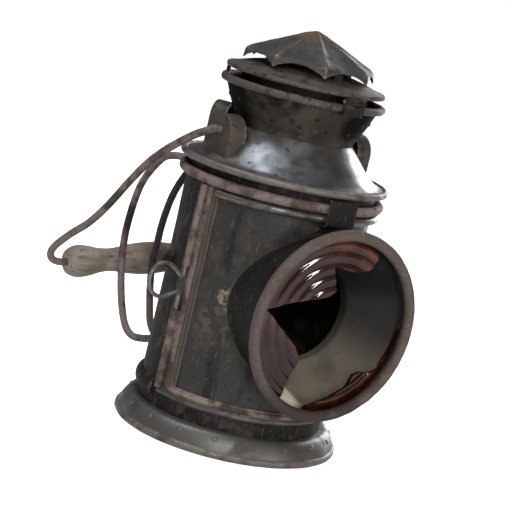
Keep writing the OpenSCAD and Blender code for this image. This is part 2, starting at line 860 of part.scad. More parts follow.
module hand_loop(x, points) {
    color("#66584f") translate([x, loop_y, 0]) rotate([0, 0, loop_rest_angle]) {
        wire(smooth_path([for (p = points) [0, p[0], p[1]]], 2), [1, 0, 0], wire_r, 10);
        translate([0, 0, 140.3]) cylinder(h = 10.7, r = wire_r);
        translate([0, 0, 41.3]) cylinder(h = 10.4, r = wire_r);
    }
}

module left_hand_loop() { hand_loop(-loop_x, left_loop_points); }

module right_hand_loop() { hand_loop(loop_x, right_loop_points); }

base_plate();
base_rim_wire();
base_skirt();
base_rivets();
body_drum();
rear_bead();
sill_strip();
top_bead();
jamb_left();
jamb_right();
shoulder();
eave_wire();
collar();
collar_rim_wire();
collar_rivets();
inner_chimney();
left_ear();
right_ear();
rear_ear();
cap_rest_tabs();
cap_hinge_bracket();
cap_hinge_pin();
loop_hinge_upper();
loop_hinge_lower();
case_hinge_leaves();
door_hinge_pins();
catch_lug();
oil_font();
filler_cap();
burner_collar();
burner_body();
wick_tube();
reflector();
reflector_bracket();
door_panel();
door_top_strip();
door_bottom_strip();
door_left_strip();
door_right_strip();
door_edge_roll();
ring_tab();
door_hinge_leaves();
front_catch();
lens_hood();
hood_rim_wire();
hood_liner();
lens_glass();
pull_ring();
cap_disc();
cap_disc_wire();
cap_umbrella();
cap_stays();
cap_hinge_leaf();
bail_wire();
grip();
left_hand_loop();
right_hand_loop();
wick_winder();
wick();
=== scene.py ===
from math import atan2, cos, hypot, pi, radians, sin

import bpy
import numpy as np
from mathutils import Matrix, Vector
from mathutils.geometry import delaunay_2d_cdt


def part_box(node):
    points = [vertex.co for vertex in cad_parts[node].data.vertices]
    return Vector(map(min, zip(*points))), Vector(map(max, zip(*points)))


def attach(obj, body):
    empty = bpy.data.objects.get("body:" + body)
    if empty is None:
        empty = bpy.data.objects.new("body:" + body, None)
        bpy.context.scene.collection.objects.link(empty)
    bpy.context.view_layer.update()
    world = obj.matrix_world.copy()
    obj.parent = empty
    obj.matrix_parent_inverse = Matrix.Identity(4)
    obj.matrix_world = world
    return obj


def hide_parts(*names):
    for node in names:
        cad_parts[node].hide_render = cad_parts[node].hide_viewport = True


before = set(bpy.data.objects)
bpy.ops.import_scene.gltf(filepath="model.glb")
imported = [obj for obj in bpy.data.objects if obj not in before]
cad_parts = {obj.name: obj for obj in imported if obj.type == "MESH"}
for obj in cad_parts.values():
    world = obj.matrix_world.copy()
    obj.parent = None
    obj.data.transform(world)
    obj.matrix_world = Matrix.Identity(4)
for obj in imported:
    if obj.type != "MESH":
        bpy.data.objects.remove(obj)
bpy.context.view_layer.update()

MM = 0.001


def srgb(hex_colour):
    """Linear RGBA of an sRGB hex colour such as "#6e5a52"."""
    parts = [int(hex_colour[i:i + 2], 16) / 255 for i in (1, 3, 5)]
    linear = [c / 12.92 if c <= 0.04045 else ((c + 0.055) / 1.055) ** 2.4 for c in parts]
    return (*linear, 1.0)


def placed(name, data):
    """New object in the scene."""
    thing = bpy.data.objects.new(name, data)
    bpy.context.scene.collection.objects.link(thing)
    return thing


# Camera, fitted to the photograph: it looks down a little from the front left, and leans
CAMERA_AZIMUTH = radians(-36.60)
CAMERA_ELEVATION = radians(10.59)
CAMERA_ROLL = radians(13.30)
CAMERA_PLACE = Vector((-658.24, -877.78, 317.98)) * MM
CAMERA_LENS = 126.0


def make_camera():
    """Camera looking at the lamp: tipped up from straight down, turned round the lamp's axis, and
    leaning by its roll."""
    data = bpy.data.cameras.new("camera")
    data.lens = CAMERA_LENS
    data.sensor_width = 36
    data.clip_start, data.clip_end = 0.05, 20
    camera = placed("camera", data)
    turn = Matrix.Rotation(CAMERA_AZIMUTH, 4, "Z") \
        @ Matrix.Rotation(pi / 2 - CAMERA_ELEVATION, 4, "X") \
        @ Matrix.Rotation(CAMERA_ROLL, 4, "Z")
    camera.matrix_world = Matrix.Translation(CAMERA_PLACE) @ turn
    bpy.context.scene.camera = camera


make_camera()
bpy.context.scene.view_settings.view_transform = "Standard"

# Sizes in mm that the frame's boxes don't give
SHEET = 0.9
BODY_R = 58.5
BEAD_SEAT = BODY_R - 0.4
STRIP_SEAT = 58.2
NECK_R = 36.8
NECK_Z = 193.2
DOOR_LOW = 27.3
DOOR_HIGH = 156.8
WIRE_R = 2.5
RING_PITCH = 7.0
SLIGHT = dict(uneven=0.12, wave=30)
FULL_TURN = 2 * pi


def around(count):
    """Angles spread evenly over a full turn."""
    return np.linspace(0, FULL_TURN, count, endpoint=False)


def arc(low, high, count):
    """Angles from low to high, given in degrees."""
    return np.radians(np.linspace(low, high, count))


# Grids and solids


def unit(vectors):
    """The same directions with length 1."""
    return vectors / np.linalg.norm(vectors, axis=-1, keepdims=True)


def quads(rows, cols, wrap_rows, wrap_cols):
    """Corner numbers of the cell between grid points (i, j) and (i + 1, j + 1), as (cells, 4)."""
    i, j = np.meshgrid(np.arange(rows - (not wrap_rows)), np.arange(cols - (not wrap_cols)),
                       indexing="ij")
    here, ahead = i * cols, (i + 1) % rows * cols
    j_next = (j + 1) % cols
    return np.stack([here + j, here + j_next, ahead + j_next, ahead + j], -1).reshape(-1, 4)


def dents(points, size, depth, seed):
    """Smooth uneven height at each point: a sum of seven sines along random directions, each wave
    about `size` mm long. The sum stays mostly within 2.7, and dividing by that makes it about
    `depth` mm high."""
    dice = np.random.default_rng(seed)
    total = np.zeros(points.shape[:-1])
    for _ in range(7):
        direction = unit(dice.normal(size=3))
        length = size * dice.uniform(0.6, 1.7)
        total += np.sin(points @ direction * (FULL_TURN / length) + dice.uniform(0, 6.28))
    return depth * total / 2.7


def joined(parts):
    """One set of points and faces out of several."""
    starts = np.cumsum([0] + [len(points) for points, _ in parts])
    faces = [group + start for (_, groups), start in zip(parts, starts) for group in groups]
    return np.concatenate([points for points, _ in parts]), faces


def outward(points, faces):
    """The same solid with its faces looking out. The tetrahedra between the origin and each face
    add up to its volume, which is negative where the faces look inwards."""
    volume = 0.0
    for group in faces:
        for k in range(1, group.shape[1] - 1):
            a, b, c = (points[group[:, n]] for n in (0, k, k + 1))
            volume += np.einsum("ij,ij->", a, np.cross(b, c))
    return points, [group[:, ::-1] for group in faces] if volume < 0 else faces


def walls(cells, half):
    """Cells between two equal skins, whose points are `half` numbers apart, along free edges."""
    sides = cells.shape[1]
    edges = np.concatenate([cells[:, [k, (k + 1) % sides]] for k in range(sides)])
    _, place, count = np.unique(np.sort(edges, 1), axis=0, return_inverse=True, return_counts=True)
    free = edges[count[place.reshape(-1)] == 1]
    return np.stack([free[:, 1], free[:, 0], free[:, 0] + half, free[:, 1] + half], 1)


def shell(outer, inner, wrap_rows=False, wrap_cols=False, keep=None):
    """Closed sheet between two grids of points: both faces, and a wall along every free edge."""
    rows, cols = outer.shape[:2]
    cells = quads(rows, cols, wrap_rows, wrap_cols)
    if keep is not None:
        cells = cells[keep.reshape(-1)]
    half = rows * cols
    faces = np.concatenate([cells, cells[:, ::-1] + half, walls(cells, half)])
    points = np.concatenate([outer.reshape(-1, 3), inner.reshape(-1, 3)])
    used, renumbered = np.unique(faces, return_inverse=True)
    return outward(points[used], [renumbered.reshape(-1, 4)])


def strung(rings, closed):
    """Solid through a row of closed outlines, (rings, points, 3), with flat ends if it is open."""
    rows, cols = rings.shape[:2]
    faces = [quads(rows, cols, closed, True)]
    if not closed:
        faces += [np.arange(cols)[None, ::-1], (rows - 1) * cols + np.arange(cols)[None, :]]
    return outward(rings.reshape(-1, 3), faces)


def softened(line, step, passes):
    """Points every `step` mm along a broken line, its corners eased by averaging neighbours."""
    line = np.array(line, float)
    along = np.concatenate([[0], np.cumsum(np.linalg.norm(np.diff(line, axis=0), axis=1))])
    at = np.linspace(0, along[-1], max(3, round(along[-1] / step)) + 1)
    points = np.stack([np.interp(at, along, line[:, k]) for k in range(line.shape[1])], 1)
    for _ in range(passes):
        points[1:-1] = (points[:-2] + 2 * points[1:-1] + points[2:]) / 4
    return points


def curve_through(points, steps):
    """Catmull-Rom curve through the points, with `steps` pieces between neighbours."""
    p = np.array(points, float)
    before = np.concatenate([p[:1], p[:-2]])
    after = np.concatenate([p[2:], p[-1:]])
    t = np.linspace(0, 1, steps, endpoint=False)[None, :, None]
    a, b, c, d = (v[:, None, :] for v in (before, p[:-1], p[1:], after))
    curve = 0.5 * (2 * b + (c - a) * t + (2 * a - 5 * b + 4 * c - d) * t ** 2
                   + (3 * b - a - 3 * c + d) * t ** 3)
    return np.concatenate([curve.reshape(-1, p.shape[1]), p[-1:]])


def sheet_section(line, thickness, side):
    """Closed outline of a sheet with half-round edges; the line is the face that `side` looks to,
    1 for the right-hand side of its direction and -1 for the left."""
    line = np.array(line, float)
    ahead = unit(np.gradient(line, axis=0))
    out = side * np.stack([ahead[:, 1], -ahead[:, 0]], 1)
    half = thickness / 2
    middle = line - half * out
    bend = np.radians([30, 60, 90, 120, 150])[:, None]
    end = middle[-1] + half * (np.cos(bend) * out[-1] + np.sin(bend) * ahead[-1])
    start = middle[0] + half * (-np.cos(bend) * out[0] - np.sin(bend) * ahead[0])
    return np.concatenate([line, end, (middle - half * out)[::-1], start])


def round_lamp(radius, height, angle):
    """Points about the lamp's own axis; angle 0 is the front, and it grows towards +X."""
    radius, height, angle = np.broadcast_arrays(radius, height, angle)
    return np.stack([radius * np.sin(angle), -radius * np.cos(angle), height], -1)


def round_lens(radius, distance, angle):
    """Points about the lens axis, `distance` in front of the lamp's axis."""
    return np.stack([radius * np.cos(angle), -distance, LENS_Z + radius * np.sin(angle)], -1)


def turned(section, place=round_lamp, angles=None, count=160, uneven=0.0, wave=25, seed=1,
           inwards=False):
    """A closed outline (radius, height) carried round an axis, over all of it or over `angles`;
    its radius and height waver by `uneven` mm."""
    closed = angles is None
    angles = around(count) if closed else angles
    radius, height, angle = np.broadcast_arrays(*section.T, angles[:, None])
    points = place(radius, height, angle)
    if uneven:
        out = dents(points, wave, uneven, seed)
        up = dents(points, wave, 0.5 * uneven, seed + 50)
        if inwards:
            out, up = -np.abs(out), 0
        points = place(radius + out, height + up, angle)
    return strung(points, closed)


def circle_section(centre, radius, sides):
    """Closed outline of a round wire."""
    turn = around(sides)
    return np.array(centre) + radius * np.stack([np.cos(turn), np.sin(turn)], 1)


def tube(path, radius, sides, seed, uneven=0.06):
    """Round wire along the path, a little uneven as drawn by hand, with eased ends."""
    ahead = unit(np.gradient(path, axis=0))
    across = np.zeros_like(path)
    guide = np.cross(ahead[0], [0.31, 0.87, 0.39])
    for i, direction in enumerate(ahead):
        guide = across[i] = unit(guide - direction * (guide @ direction))
    up = np.cross(ahead, across)
    turn = around(sides)[None, :, None]
    rings = np.cos(turn) * across[:, None] + np.sin(turn) * up[:, None]
    thick = radius - np.abs(dents(path[:, None] + rings * radius, 9, uneven, seed))[..., None]
    rings = path[:, None] + rings * thick
    ease, narrow = 0.35, 0.75
    first, last = (path[i] + out * ahead[i] + (rings[i] - path[i]) * narrow
                   for i, out in ((0, -ease), (-1, ease)))
    return strung(np.concatenate([first[None], rings, last[None]]), False)


def rivet_heads(rows, radius, height):
    """Low domes, sunk a little into the lamp. Each row of them gives its radius and height, the
    lean of its outward direction and its azimuths, in mm and degrees."""
    parts, sunk = [], 0.4
    turn = around(14)[:, None]
    for row_radius, row_height, lean, azimuths in rows:
        azimuths, lean = np.radians(azimuths), radians(lean)
        places = round_lamp(row_radius, row_height, azimuths)
        outs = round_lamp(cos(lean), sin(lean), azimuths)
        for spot, out in zip(places, outs):
            side = unit(np.cross(out, [0, 0, 1.0]))
            ring = np.cos(turn) * side + np.sin(turn) * np.cross(side, out)
            rings = [spot - sunk * out + radius * ring]
            rings += [spot + height * sin(a) * out + radius * cos(a) * ring
                      for a in np.radians([0, 20, 40, 60, 78])]
            parts.append(strung(np.array(rings), False))
    return joined(parts)


# Pieces


def read(items, key, width, kind=float):
    """One property of all vertices or edges, as an array with `width` columns."""
    values = np.zeros(len(items) * width, kind)
    items.foreach_get(key, values)
    return values.reshape(-1, width)


def mark_worn_edges(mesh):
    """Attribute "worn": how far each point stands out from its neighbours on average, 0 on a
    flat sheet and towards 1 on an edge."""
    place, normal = read(mesh.vertices, "co", 3), read(mesh.vertices, "normal", 3)
    start, end = read(mesh.edges, "vertices", 2, int).T
    step = place[end] - place[start]
    step /= np.maximum(np.linalg.norm(step, axis=1), 1e-9)[:, None]
    standing, near = np.zeros(len(place)), np.zeros(len(place))
    for ends, away in ((start, -step), (end, step)):
        np.add.at(standing, ends, np.einsum("ij,ij->i", away, normal[ends]))
        np.add.at(near, ends, 1)
    worn = np.clip(standing / np.maximum(near, 1), 0, 1)
    attribute = mesh.attributes.new("worn", "FLOAT", "POINT")
    attribute.data.foreach_set("value", worn.astype(np.float32))


def make(name, solid, material, body, node, crease=38):
    """Object out of points in mm and faces: it rides on a body and stands for its CAD node."""
    points, faces = solid
    mesh = bpy.data.meshes.new(name)
    mesh.from_pydata((points * MM).tolist(), [], [f for group in faces for f in group.tolist()])
    mesh.validate()
    mesh.shade_smooth()
    mesh.set_sharp_from_angle(angle=radians(crease))
    thing = placed(name, mesh)
    mesh.materials.append(material)
    mark_worn_edges(mesh)
    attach(thing, body)
    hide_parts(node)


def box_mm(node):
    low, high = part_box(node)
    return np.array(low) / MM, np.array(high) / MM


def wired_edge(name, node, material, body, axis=2, sides=16, **waver):
    """Sheet rolled over a wire round the lamp's axis (2) or the lens's (1): the roll is as thick
    as the node's box is along that axis, and fills it."""
    low, high = box_mm(node)
    roll = (high[axis] - low[axis]) / 2
    centre = ((high[0] - low[0]) / 2 - roll, abs(low[axis] + roll))
    make(name, turned(circle_section(centre, roll, sides), **waver), material, body, node)


# Materials: layers of colour over a base, each through its own mask. Sizes are in mm.


def on(colour, rough, metal, size, low, high, detail=4, **where):
    """Layer of a material: colour, roughness and metalness (None keeps what lies below), then
    for its mask the size of the noise, the two levels between which it sets in, and its detail."""
    return colour, rough, metal, dict(size=size, low=low, high=high, detail=detail, **where)


def add(tree, kind, values=None, **settings):
    """Adds a shader node; values go to its inputs by name or number, as numbers or as links."""
    node = tree.nodes.new("ShaderNode" + kind)
    for key, value in settings.items():
        setattr(node, key, value)
    for key, value in (values or {}).items():
        put(tree, node.inputs[key], value)
    return node


def put(tree, socket, value):
    if isinstance(value, bpy.types.NodeSocket):
        tree.links.new(value, socket)
    else:
        socket.default_value = value


def band(tree, value, low, high):
    """0 under low, 1 over high and smooth between; with low above high it runs the other way."""
    return add(tree, "MapRange", {"Value": value, "From Min": low, "From Max": high},
               interpolation_type="SMOOTHSTEP").outputs["Result"]


def number(tree, operation, *values):
    """Result of a Math node."""
    return add(tree, "Math", dict(enumerate(values)), operation=operation).outputs[0]


def vector(tree, operation, *values):
    """Result of a VectorMath node: a number for DISTANCE, LENGTH and DOT_PRODUCT, else a vector."""
    node = add(tree, "VectorMath", dict(enumerate(values)), operation=operation)
    plain = operation in ("DISTANCE", "LENGTH", "DOT_PRODUCT")
    return node.outputs["Value" if plain else "Vector"]


def noise(tree, place, size, detail):
    """Cloudy noise from 0 to 1, whose clouds are about `size` mm wide."""
    return add(tree, "TexNoise", {"Vector": place, "Scale": 1 / (size * MM),
                                  "Detail": detail}).outputs["Fac"]


SPOT_CORE = 0.45  # share of a spot's radius up to which its layer is full


def mask(tree, place, size, low, high, detail, stretch=(1, 1, 1), shift=0.0, worn=None, spot=None,
         height=None, lens_turn=None, rings=None, strength=1.0):
    """Where a layer shows: noise between two levels, times where it is: near an edge, in a spot
    (centre, radius), between heights, on one side of the lens axis (lean of the direction, two
    distances along it), or in rings round it (pitch, two levels of their cosine)."""
    stretched = vector(tree, "MULTIPLY", place, stretch)
    if shift:
        stretched = vector(tree, "ADD", stretched, (shift, 0, 0))
    limits = [(noise(tree, stretched, size, detail), low, high)]
    if worn:
        limits.append((add(tree, "Attribute", attribute_name="worn").outputs["Fac"], *worn))
    if spot:
        centre, reach = spot
        off = vector(tree, "DISTANCE", place, tuple(c * MM for c in centre))
        limits.append((off, reach * MM, SPOT_CORE * reach * MM))
    if height:
        z = vector(tree, "DOT_PRODUCT", place, (0, 0, 1))
        limits.append((z, height[0] * MM, height[1] * MM))
    if lens_turn or rings:
        off = vector(tree, "SUBTRACT", place, (0, 0, LENS_Z * MM))
    if lens_turn:
        lean, low_side, high_side = lens_turn
        side = vector(tree, "DOT_PRODUCT", off, (cos(lean), 0, sin(lean)))
        limits.append((side, low_side * MM, high_side * MM))
    if rings:
        pitch, low_wave, high_wave = rings
        radius = vector(tree, "LENGTH", vector(tree, "MULTIPLY", off, (1, 0, 1)))
        phase = number(tree, "MULTIPLY", radius, FULL_TURN / (pitch * MM))
        limits.append((number(tree, "COSINE", phase), low_wave, high_wave))
    result = band(tree, *limits[0])
    for limit in limits[1:]:
        result = number(tree, "MULTIPLY", result, band(tree, *limit))
    return number(tree, "MULTIPLY", result, strength) if strength < 1 else result


def surface(name, base, rough, metal, layers, bumps, sheen=0.5):
    """Principled material out of on() layers; each bump is (size, height, detail)."""
    material = bpy.data.materials.new(name)
    material.use_nodes = True
    tree = material.node_tree
    place = add(tree, "TexCoord").outputs["Object"]
    values = {"Base Color": srgb(base), "Roughness": rough, "Metallic": metal,
              "Specular IOR Level": sheen}
    for colour, layer_rough, layer_metal, where in layers:
        share = mask(tree, place, **where)
        values["Base Color"] = add(tree, "MixRGB", {
            "Fac": share, "Color1": values["Base Color"], "Color2": srgb(colour)}).outputs[0]
        for key, value in (("Roughness", layer_rough), ("Metallic", layer_metal)):
            if value is not None:
                values[key] = add(tree, "Mix", {"Factor": share, "A": values[key],
                                                "B": value}).outputs[0]
    normal = {}
    for size, rise, detail in bumps:
        grain = noise(tree, place, size, detail)
        bump = add(tree, "Bump", {"Height": grain, "Distance": rise * MM, **normal})
        normal = {"Normal": bump.outputs["Normal"]}
    for key, value in {**values, **normal}.items():
        put(tree, tree.nodes["Principled BSDF"].inputs[key], value)
    return material


LENS_Z = (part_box("hood_rim_wire")[0].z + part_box("hood_rim_wire")[1].z) / 2 / MM

# Tinplate under worn black japan (drum, door, ears, hood): cloudy, brown where the lacquer is
# thin, streaked where water ran, scratched, freckled and rubbed
JAPAN = [
    on("#33312e", None, None, 30, 0.42, 0.62),
    on("#3f362d", 0.62, 0.1, 11, 0.49, 0.64, 7, shift=0.3),
    on("#1f1e1c", 0.6, None, 13, 0.53, 0.66, 6, stretch=(1, 1, 0.3), shift=0.7),
    on("#5d5852", 0.45, None, 1.6, 0.6, 0.72, 5, stretch=(1, 1, 0.16), shift=0.2, strength=0.55),
    on("#665f57", 0.5, None, 0.9, 0.64, 0.72, 2, strength=0.6),
    on("#2b2521", 0.75, 0.0, 2.6, 0.62, 0.7, 6, shift=1.1),
    on("#7a6c5d", 0.6, None, 2.6, 0.71, 0.76, 6, shift=0.5),
    on("#716b65", 0.45, 0.5, 2, 0.3, 0.5, worn=(0.14, 0.32), strength=0.8)]
RUST_SPOTS = [
    on("#4f463c", 0.8, 0.0, 5, 0.48, 0.6, 6, spot=((-48, -33, 78), 18)),
    on("#796a5b", 0.8, 0.0, 3.4, 0.5, 0.58, 7, spot=((-46.5, -35.4, 94), 9)),
    on("#94826e", 0.8, 0.0, 1.7, 0.53, 0.6, 6, shift=0.4, spot=((-46.9, -35, 95), 7))]
PITS = [(26, 0.5, 1), (2.2, 0.06, 4), (0.7, 0.03, 2)]
DARK = surface("dark_sheet", "#1f1b19", 0.6, 0.04, JAPAN[1:], PITS, 0.12)
DOOR = surface("door_sheet", "#322f2d", 0.4, 0.3, JAPAN + RUST_SPOTS, PITS, 0.35)
EAR = surface("ear_sheet", "#453d35", 0.55, 0.2, [
    on("#4a4037", 0.6, None, 14, 0.42, 0.64, 6),
    on("#221d19", 0.7, 0.0, 6, 0.55, 0.68, 7, shift=0.4),
    on("#6d6156", 0.6, None, 1.2, 0.66, 0.74, 3, strength=0.6),
    on("#75695e", 0.5, 0.4, 2.4, 0.4, 0.56, worn=(0.08, 0.24))], PITS, 0.35)
# The hood's sheet, also used for the catch: the same japan painted much darker, which is painted
# shade
SHADED_JAPAN = surface("hood_sheet", "#1a1917", 0.55, 0.06, JAPAN[2:], PITS, 0.16)

# Folded steel strip over the door, gone dark: slick, so that it takes short white highlights
STRIP = surface("steel_strip", "#66625b", 0.33, 0.7, [
    on("#37332f", 0.5, 0.4, 9, 0.45, 0.66, 5),
    on("#8e8b86", 0.25, 0.9, 2.4, 0.62, 0.74, stretch=(0.4, 0.4, 1)),
    on("#2a2623", 0.7, 0.1, 3, 0.6, 0.7, 5, shift=0.6)], PITS)

# Tinned sheet of shoulder and foot gone grey: still reflects softly, clouded brown by handling; the
# pale patches on the shoulder's front left and front right are painted reflections
TINNED = surface("tinned_sheet", "#52504d", 0.31, 0.75, [
    on("#433f39", 0.44, 0.5, 22, 0.42, 0.6),
    on("#3d372f", 0.6, 0.15, 12, 0.55, 0.7, 7, shift=0.9),
    on("#6c6c6e", 0.3, 0.85, 2.6, 0.58, 0.72, 5, strength=0.35),
    # painted reflections: pale blue-grey patch on the shoulder's front left, near-white patch on
    # its front right
    on("#9a9da1", 0.34, 0.9, 12, 0.3, 0.6, 8, spot=((-29, -38, 180), 34), strength=0.45),
    on("#aeb2b4", 0.27, 0.95, 14, 0.2, 0.45, 6, spot=((35, -33, 183), 28)),
    on("#2d2823", 0.6, 0.15, 4.5, 0.62, 0.7, 7, shift=0.2),
    on("#514c43", 0.55, 0.2, 7, 0.3, 0.42, 5, spot=((-58, -7, 172), 15)),
    on("#3a332b", 0.62, 0.1, 7, 0.3, 0.6, 6, height=(185, 194)),
    on("#3a3128", 0.65, 0.1, 6, 0.35, 0.62, 6, height=(174, 170.5), strength=0.7),
    on("#7a756d", 0.5, 0.5, 2, 0.3, 0.5, worn=(0.14, 0.32), strength=0.6)], PITS)
FOOT = surface("foot_sheet", "#5a5752", 0.42, 0.45, [
    on("#4e4b47", 0.45, 0.45, 20, 0.45, 0.65),
    on("#3c3833", 0.6, 0.1, 14, 0.5, 0.66, 7, shift=0.4),
    on("#6a645c", 0.5, 0.4, 1.6, 0.66, 0.74, 3, strength=0.7),
    on("#7d776f", 0.45, 0.6, 2, 0.3, 0.5, worn=(0.12, 0.3))], PITS)

# Wired edges rubbed to bare iron that has rusted again: matt, pinkish brown, pitted and greasy
WORN_LAYERS = [
    on("#57493f", 0.85, None, 9, 0.47, 0.62, 7),
    on("#86776f", 0.7, None, 2.2, 0.58, 0.75, 6, shift=0.5, strength=0.7),
    on("#3c342f", 0.9, None, 1.3, 0.62, 0.7, 5, shift=0.2),
    on("#94857c", 0.6, None, 0.7, 0.66, 0.76, 2, strength=0.5),
    on("#463c34", 0.8, None, 20, 0.52, 0.64, 5, shift=1.3)]
ROUGH_PITS = [(5, 0.3, 3), (1.3, 0.12, 4)]
WORN = surface("worn_bead", "#7b6b64", 0.72, 0.15, WORN_LAYERS, ROUGH_PITS, 0.3)
BAND = surface("band_bead", "#85776b", 0.68, 0.15, WORN_LAYERS, ROUGH_PITS, 0.25)
SEAM = surface("seam_bead", "#453d36", 0.62, 0.15, WORN_LAYERS[2:3] + [
    on("#4c443b", 0.7, None, 14, 0.42, 0.62, 6),
    on("#6f655c", 0.6, None, 2.2, 0.3, 0.5, 5, worn=(0.05, 0.2), strength=0.6)], ROUGH_PITS, 0.25)
RIM = surface("rim_bead", "#564b45", 0.62, 0.2, WORN_LAYERS[:4] + [
    on("#3a312c", 0.75, None, 20, 0.3, 0.45, height=(70, 40))], ROUGH_PITS, 0.35)
WIRE = surface("iron_wire", "#766863", 0.62, 0.2, WORN_LAYERS + [
    on("#2e2723", 0.75, None, 8, 0.2, 0.45, spot=((-32, 111.5, 105), 15))], ROUGH_PITS, 0.4)

# Wired edges near the chimney: the same iron under brown soot
SMOKED = surface("smoked_bead", "#4e443c", 0.6, 0.2, [
    on("#3a322d", 0.8, None, 12, 0.46, 0.64, 6),
    on("#7a6b62", 0.7, None, 2.6, 0.56, 0.72, 5, shift=0.5, strength=0.7),
    on("#241f1b", 0.85, None, 3, 0.58, 0.68, 5, shift=0.2)], ROUGH_PITS, 0.35)
# Hand loop in the shade: the same iron painted darker, which is painted shade, with a paler patch
# near its foot
SHADED_WIRE = surface("shaded_wire", "#3a322d", 0.6, 0.2, [
    on("#6d615a", 0.65, None, 10, 0.2, 0.5, spot=((-5, 103, 44), 24)),
    on("#2a2420", 0.7, None, 9, 0.45, 0.66, 5),
    on("#5c5049", 0.7, None, 2.2, 0.62, 0.74, shift=0.5)], ROUGH_PITS, 0.35)

# Tinned wired edges of foot and eave: greyer than the other edges, dull, brown in the pits
EDGE = surface("foot_bead", "#6e665f", 0.5, 0.35, [
    on("#5a524b", 0.7, 0.1, 8, 0.5, 0.68, 6),
    on("#837d76", 0.42, 0.5, 2.6, 0.58, 0.72, 5, shift=0.5),
    on("#38312c", 0.85, 0.0, 1.5, 0.62, 0.7, shift=0.2),
    on("#4b4139", 0.8, 0.0, 22, 0.54, 0.66, shift=1.3)], ROUGH_PITS, 0.35)

# Newer tinned wire: paler, slick, dirty in places
BRIGHT = surface("bright_wire", "#7d7872", 0.42, 0.7, [
    on("#4d4741", 0.6, 0.2, 5, 0.5, 0.66, 5),
    on("#a5a19a", 0.35, 0.9, 2, 0.6, 0.72, 3)], [(1.5, 0.05, 3)])

# Chimney parts: soot baked on tinplate, dead black in patches and brown-grey between; the black
# spots on the collar's left side and on its right side beside and under the cap's clip are painted
# shade
SOOTY = surface("sooty_tin", "#35312c", 0.62, 0.15, [
    on("#433e37", 0.6, 0.2, 20, 0.46, 0.64),
    on("#151210", 0.85, 0.0, 17, 0.5, 0.68, 5, shift=0.8),
    on("#4d3f33", 0.75, 0.0, 6, 0.6, 0.72, 6),
    on("#5c564f", 0.6, None, 1.4, 0.68, 0.76, 3, strength=0.5),
    # painted shade: black spots on the collar's left side and on its right side beside and under
    # the cap's clip
    *(on("#0b0a08", 0.85, 0.0, 12, 0.2, 0.4, spot=spot)
      for spot in (((-43, 14, 208), 30), ((36, -24, 205), 27), ((14, -41, 208), 17))),
    on("#6a6158", 0.6, 0.2, 2, 0.3, 0.5, worn=(0.14, 0.32), strength=0.7)], PITS, 0.08)

# Rivet heads buried in soot: nearly black
SOOT = surface("soot_black", "#1f1c19", 0.7, 0.05, [
    on("#322c26", 0.75, None, 1.6, 0.5, 0.66),
    on("#121010", 0.8, None, 3, 0.5, 0.6, 3, shift=0.4)], PITS[1:], 0.25)

# Smoked sheet of the cap: its roof is pale along folds and hem and rusted round the peak
SMOKE = [
    on("#4d4945", 0.5, 0.3, 16, 0.45, 0.62),
    on("#312c27", 0.65, 0.1, 9, 0.5, 0.66, 6, shift=0.4),
    on("#5d4527", 0.75, 0.0, 7, 0.36, 0.6, 6, spot=((0, 0, 257), 17)),
    on("#6c6259", 0.6, 0.2, 1.6, 0.64, 0.74, strength=0.7),
    on("#231e1a", 0.7, 0.0, 2.4, 0.6, 0.68, 6, shift=0.9)]
ROOF = surface("roof_sheet", "#3d3935", 0.6, 0.2, SMOKE + [
    on("#7a7067", 0.5, 0.3, 2, 0.3, 0.55, worn=(0.03, 0.12), strength=0.5),
    on("#857b72", 0.55, 0.3, 3, 0.3, 0.55, height=(235, 232.6), strength=0.45)], PITS, 0.35)
# The cap's plate: the same smoked sheet made paler, which is painted light in the shade under the
# roof
LIT_PLATE = surface("plate_sheet", "#51493f", 0.6, 0.1, SMOKE, PITS, 0.3)

# Cream enamel inside the hood, greyed by smoke, darker towards one side and black towards the upper
# side; a pale patch on its lip at the lower left is painted light
LINER = surface("liner_paint", "#655d50", 0.6, 0.0, [
    on("#4b453b", 0.65, None, 24, 0.4, 0.65),
    on("#24211d", 0.7, None, 40, 0.2, 0.3, lens_turn=(radians(60), -26, 24)),
    on("#0c0b09", 0.8, None, 16, 0.1, 0.3, lens_turn=(radians(100), 4, 16)),
    # painted light: a pale patch on the liner's lip at the lower left, by the lens
    on("#b3aa97", 0.6, None, 30, 0.1, 0.2, spot=((-22, -77, 45), 19),
       lens_turn=(radians(50), -41.5, -43)),
    on("#453b2f", 0.75, None, 5, 0.66, 0.78, 5, shift=0.9, strength=0.5)], [(8, 0.08, 2)], 0.25)

# Old pearwood: grey where weathered, with dark long pores; honey in the middle where the hand kept
# it, and that honey patch with its near-black core is also a painted shadow of the lamp
WOOD = surface("turned_wood", "#877d70", 0.72, 0.0, [
    on("#9c9183", 0.75, None, 7, 0.4, 0.65, 6, stretch=(0.25, 1, 1)),
    on("#6a5d4f", 0.65, None, 2, 0.5, 0.68, 6, stretch=(0.1, 1, 1), shift=0.4),
    on("#4f443a", 0.8, None, 0.8, 0.6, 0.72, stretch=(0.07, 1, 1), strength=0.8),
    on("#73654c", 0.6, None, 24, 0.5, 0.66, shift=0.2, strength=0.6),
    on("#3f362e", 0.8, None, 9, 0.62, 0.74, 6, shift=0.7, strength=0.7),
    # honey patch, partly handling and partly painted shadow; its near-black core below is painted
    # shadow of the lamp
    on("#5b4a33", 0.65, None, 14, 0.3, 0.55, 5, spot=((16, 130, 78), 40), strength=0.8),
    on("#2c241c", 0.75, None, 9, 0.3, 0.5, 5, spot=((22, 130, 79), 26), strength=0.6),
    on("#a79d8e", 0.8, None, 3, 0.3, 0.5, worn=(0.1, 0.25), strength=0.7)], [(2, 0.1, 4)], 0.3)

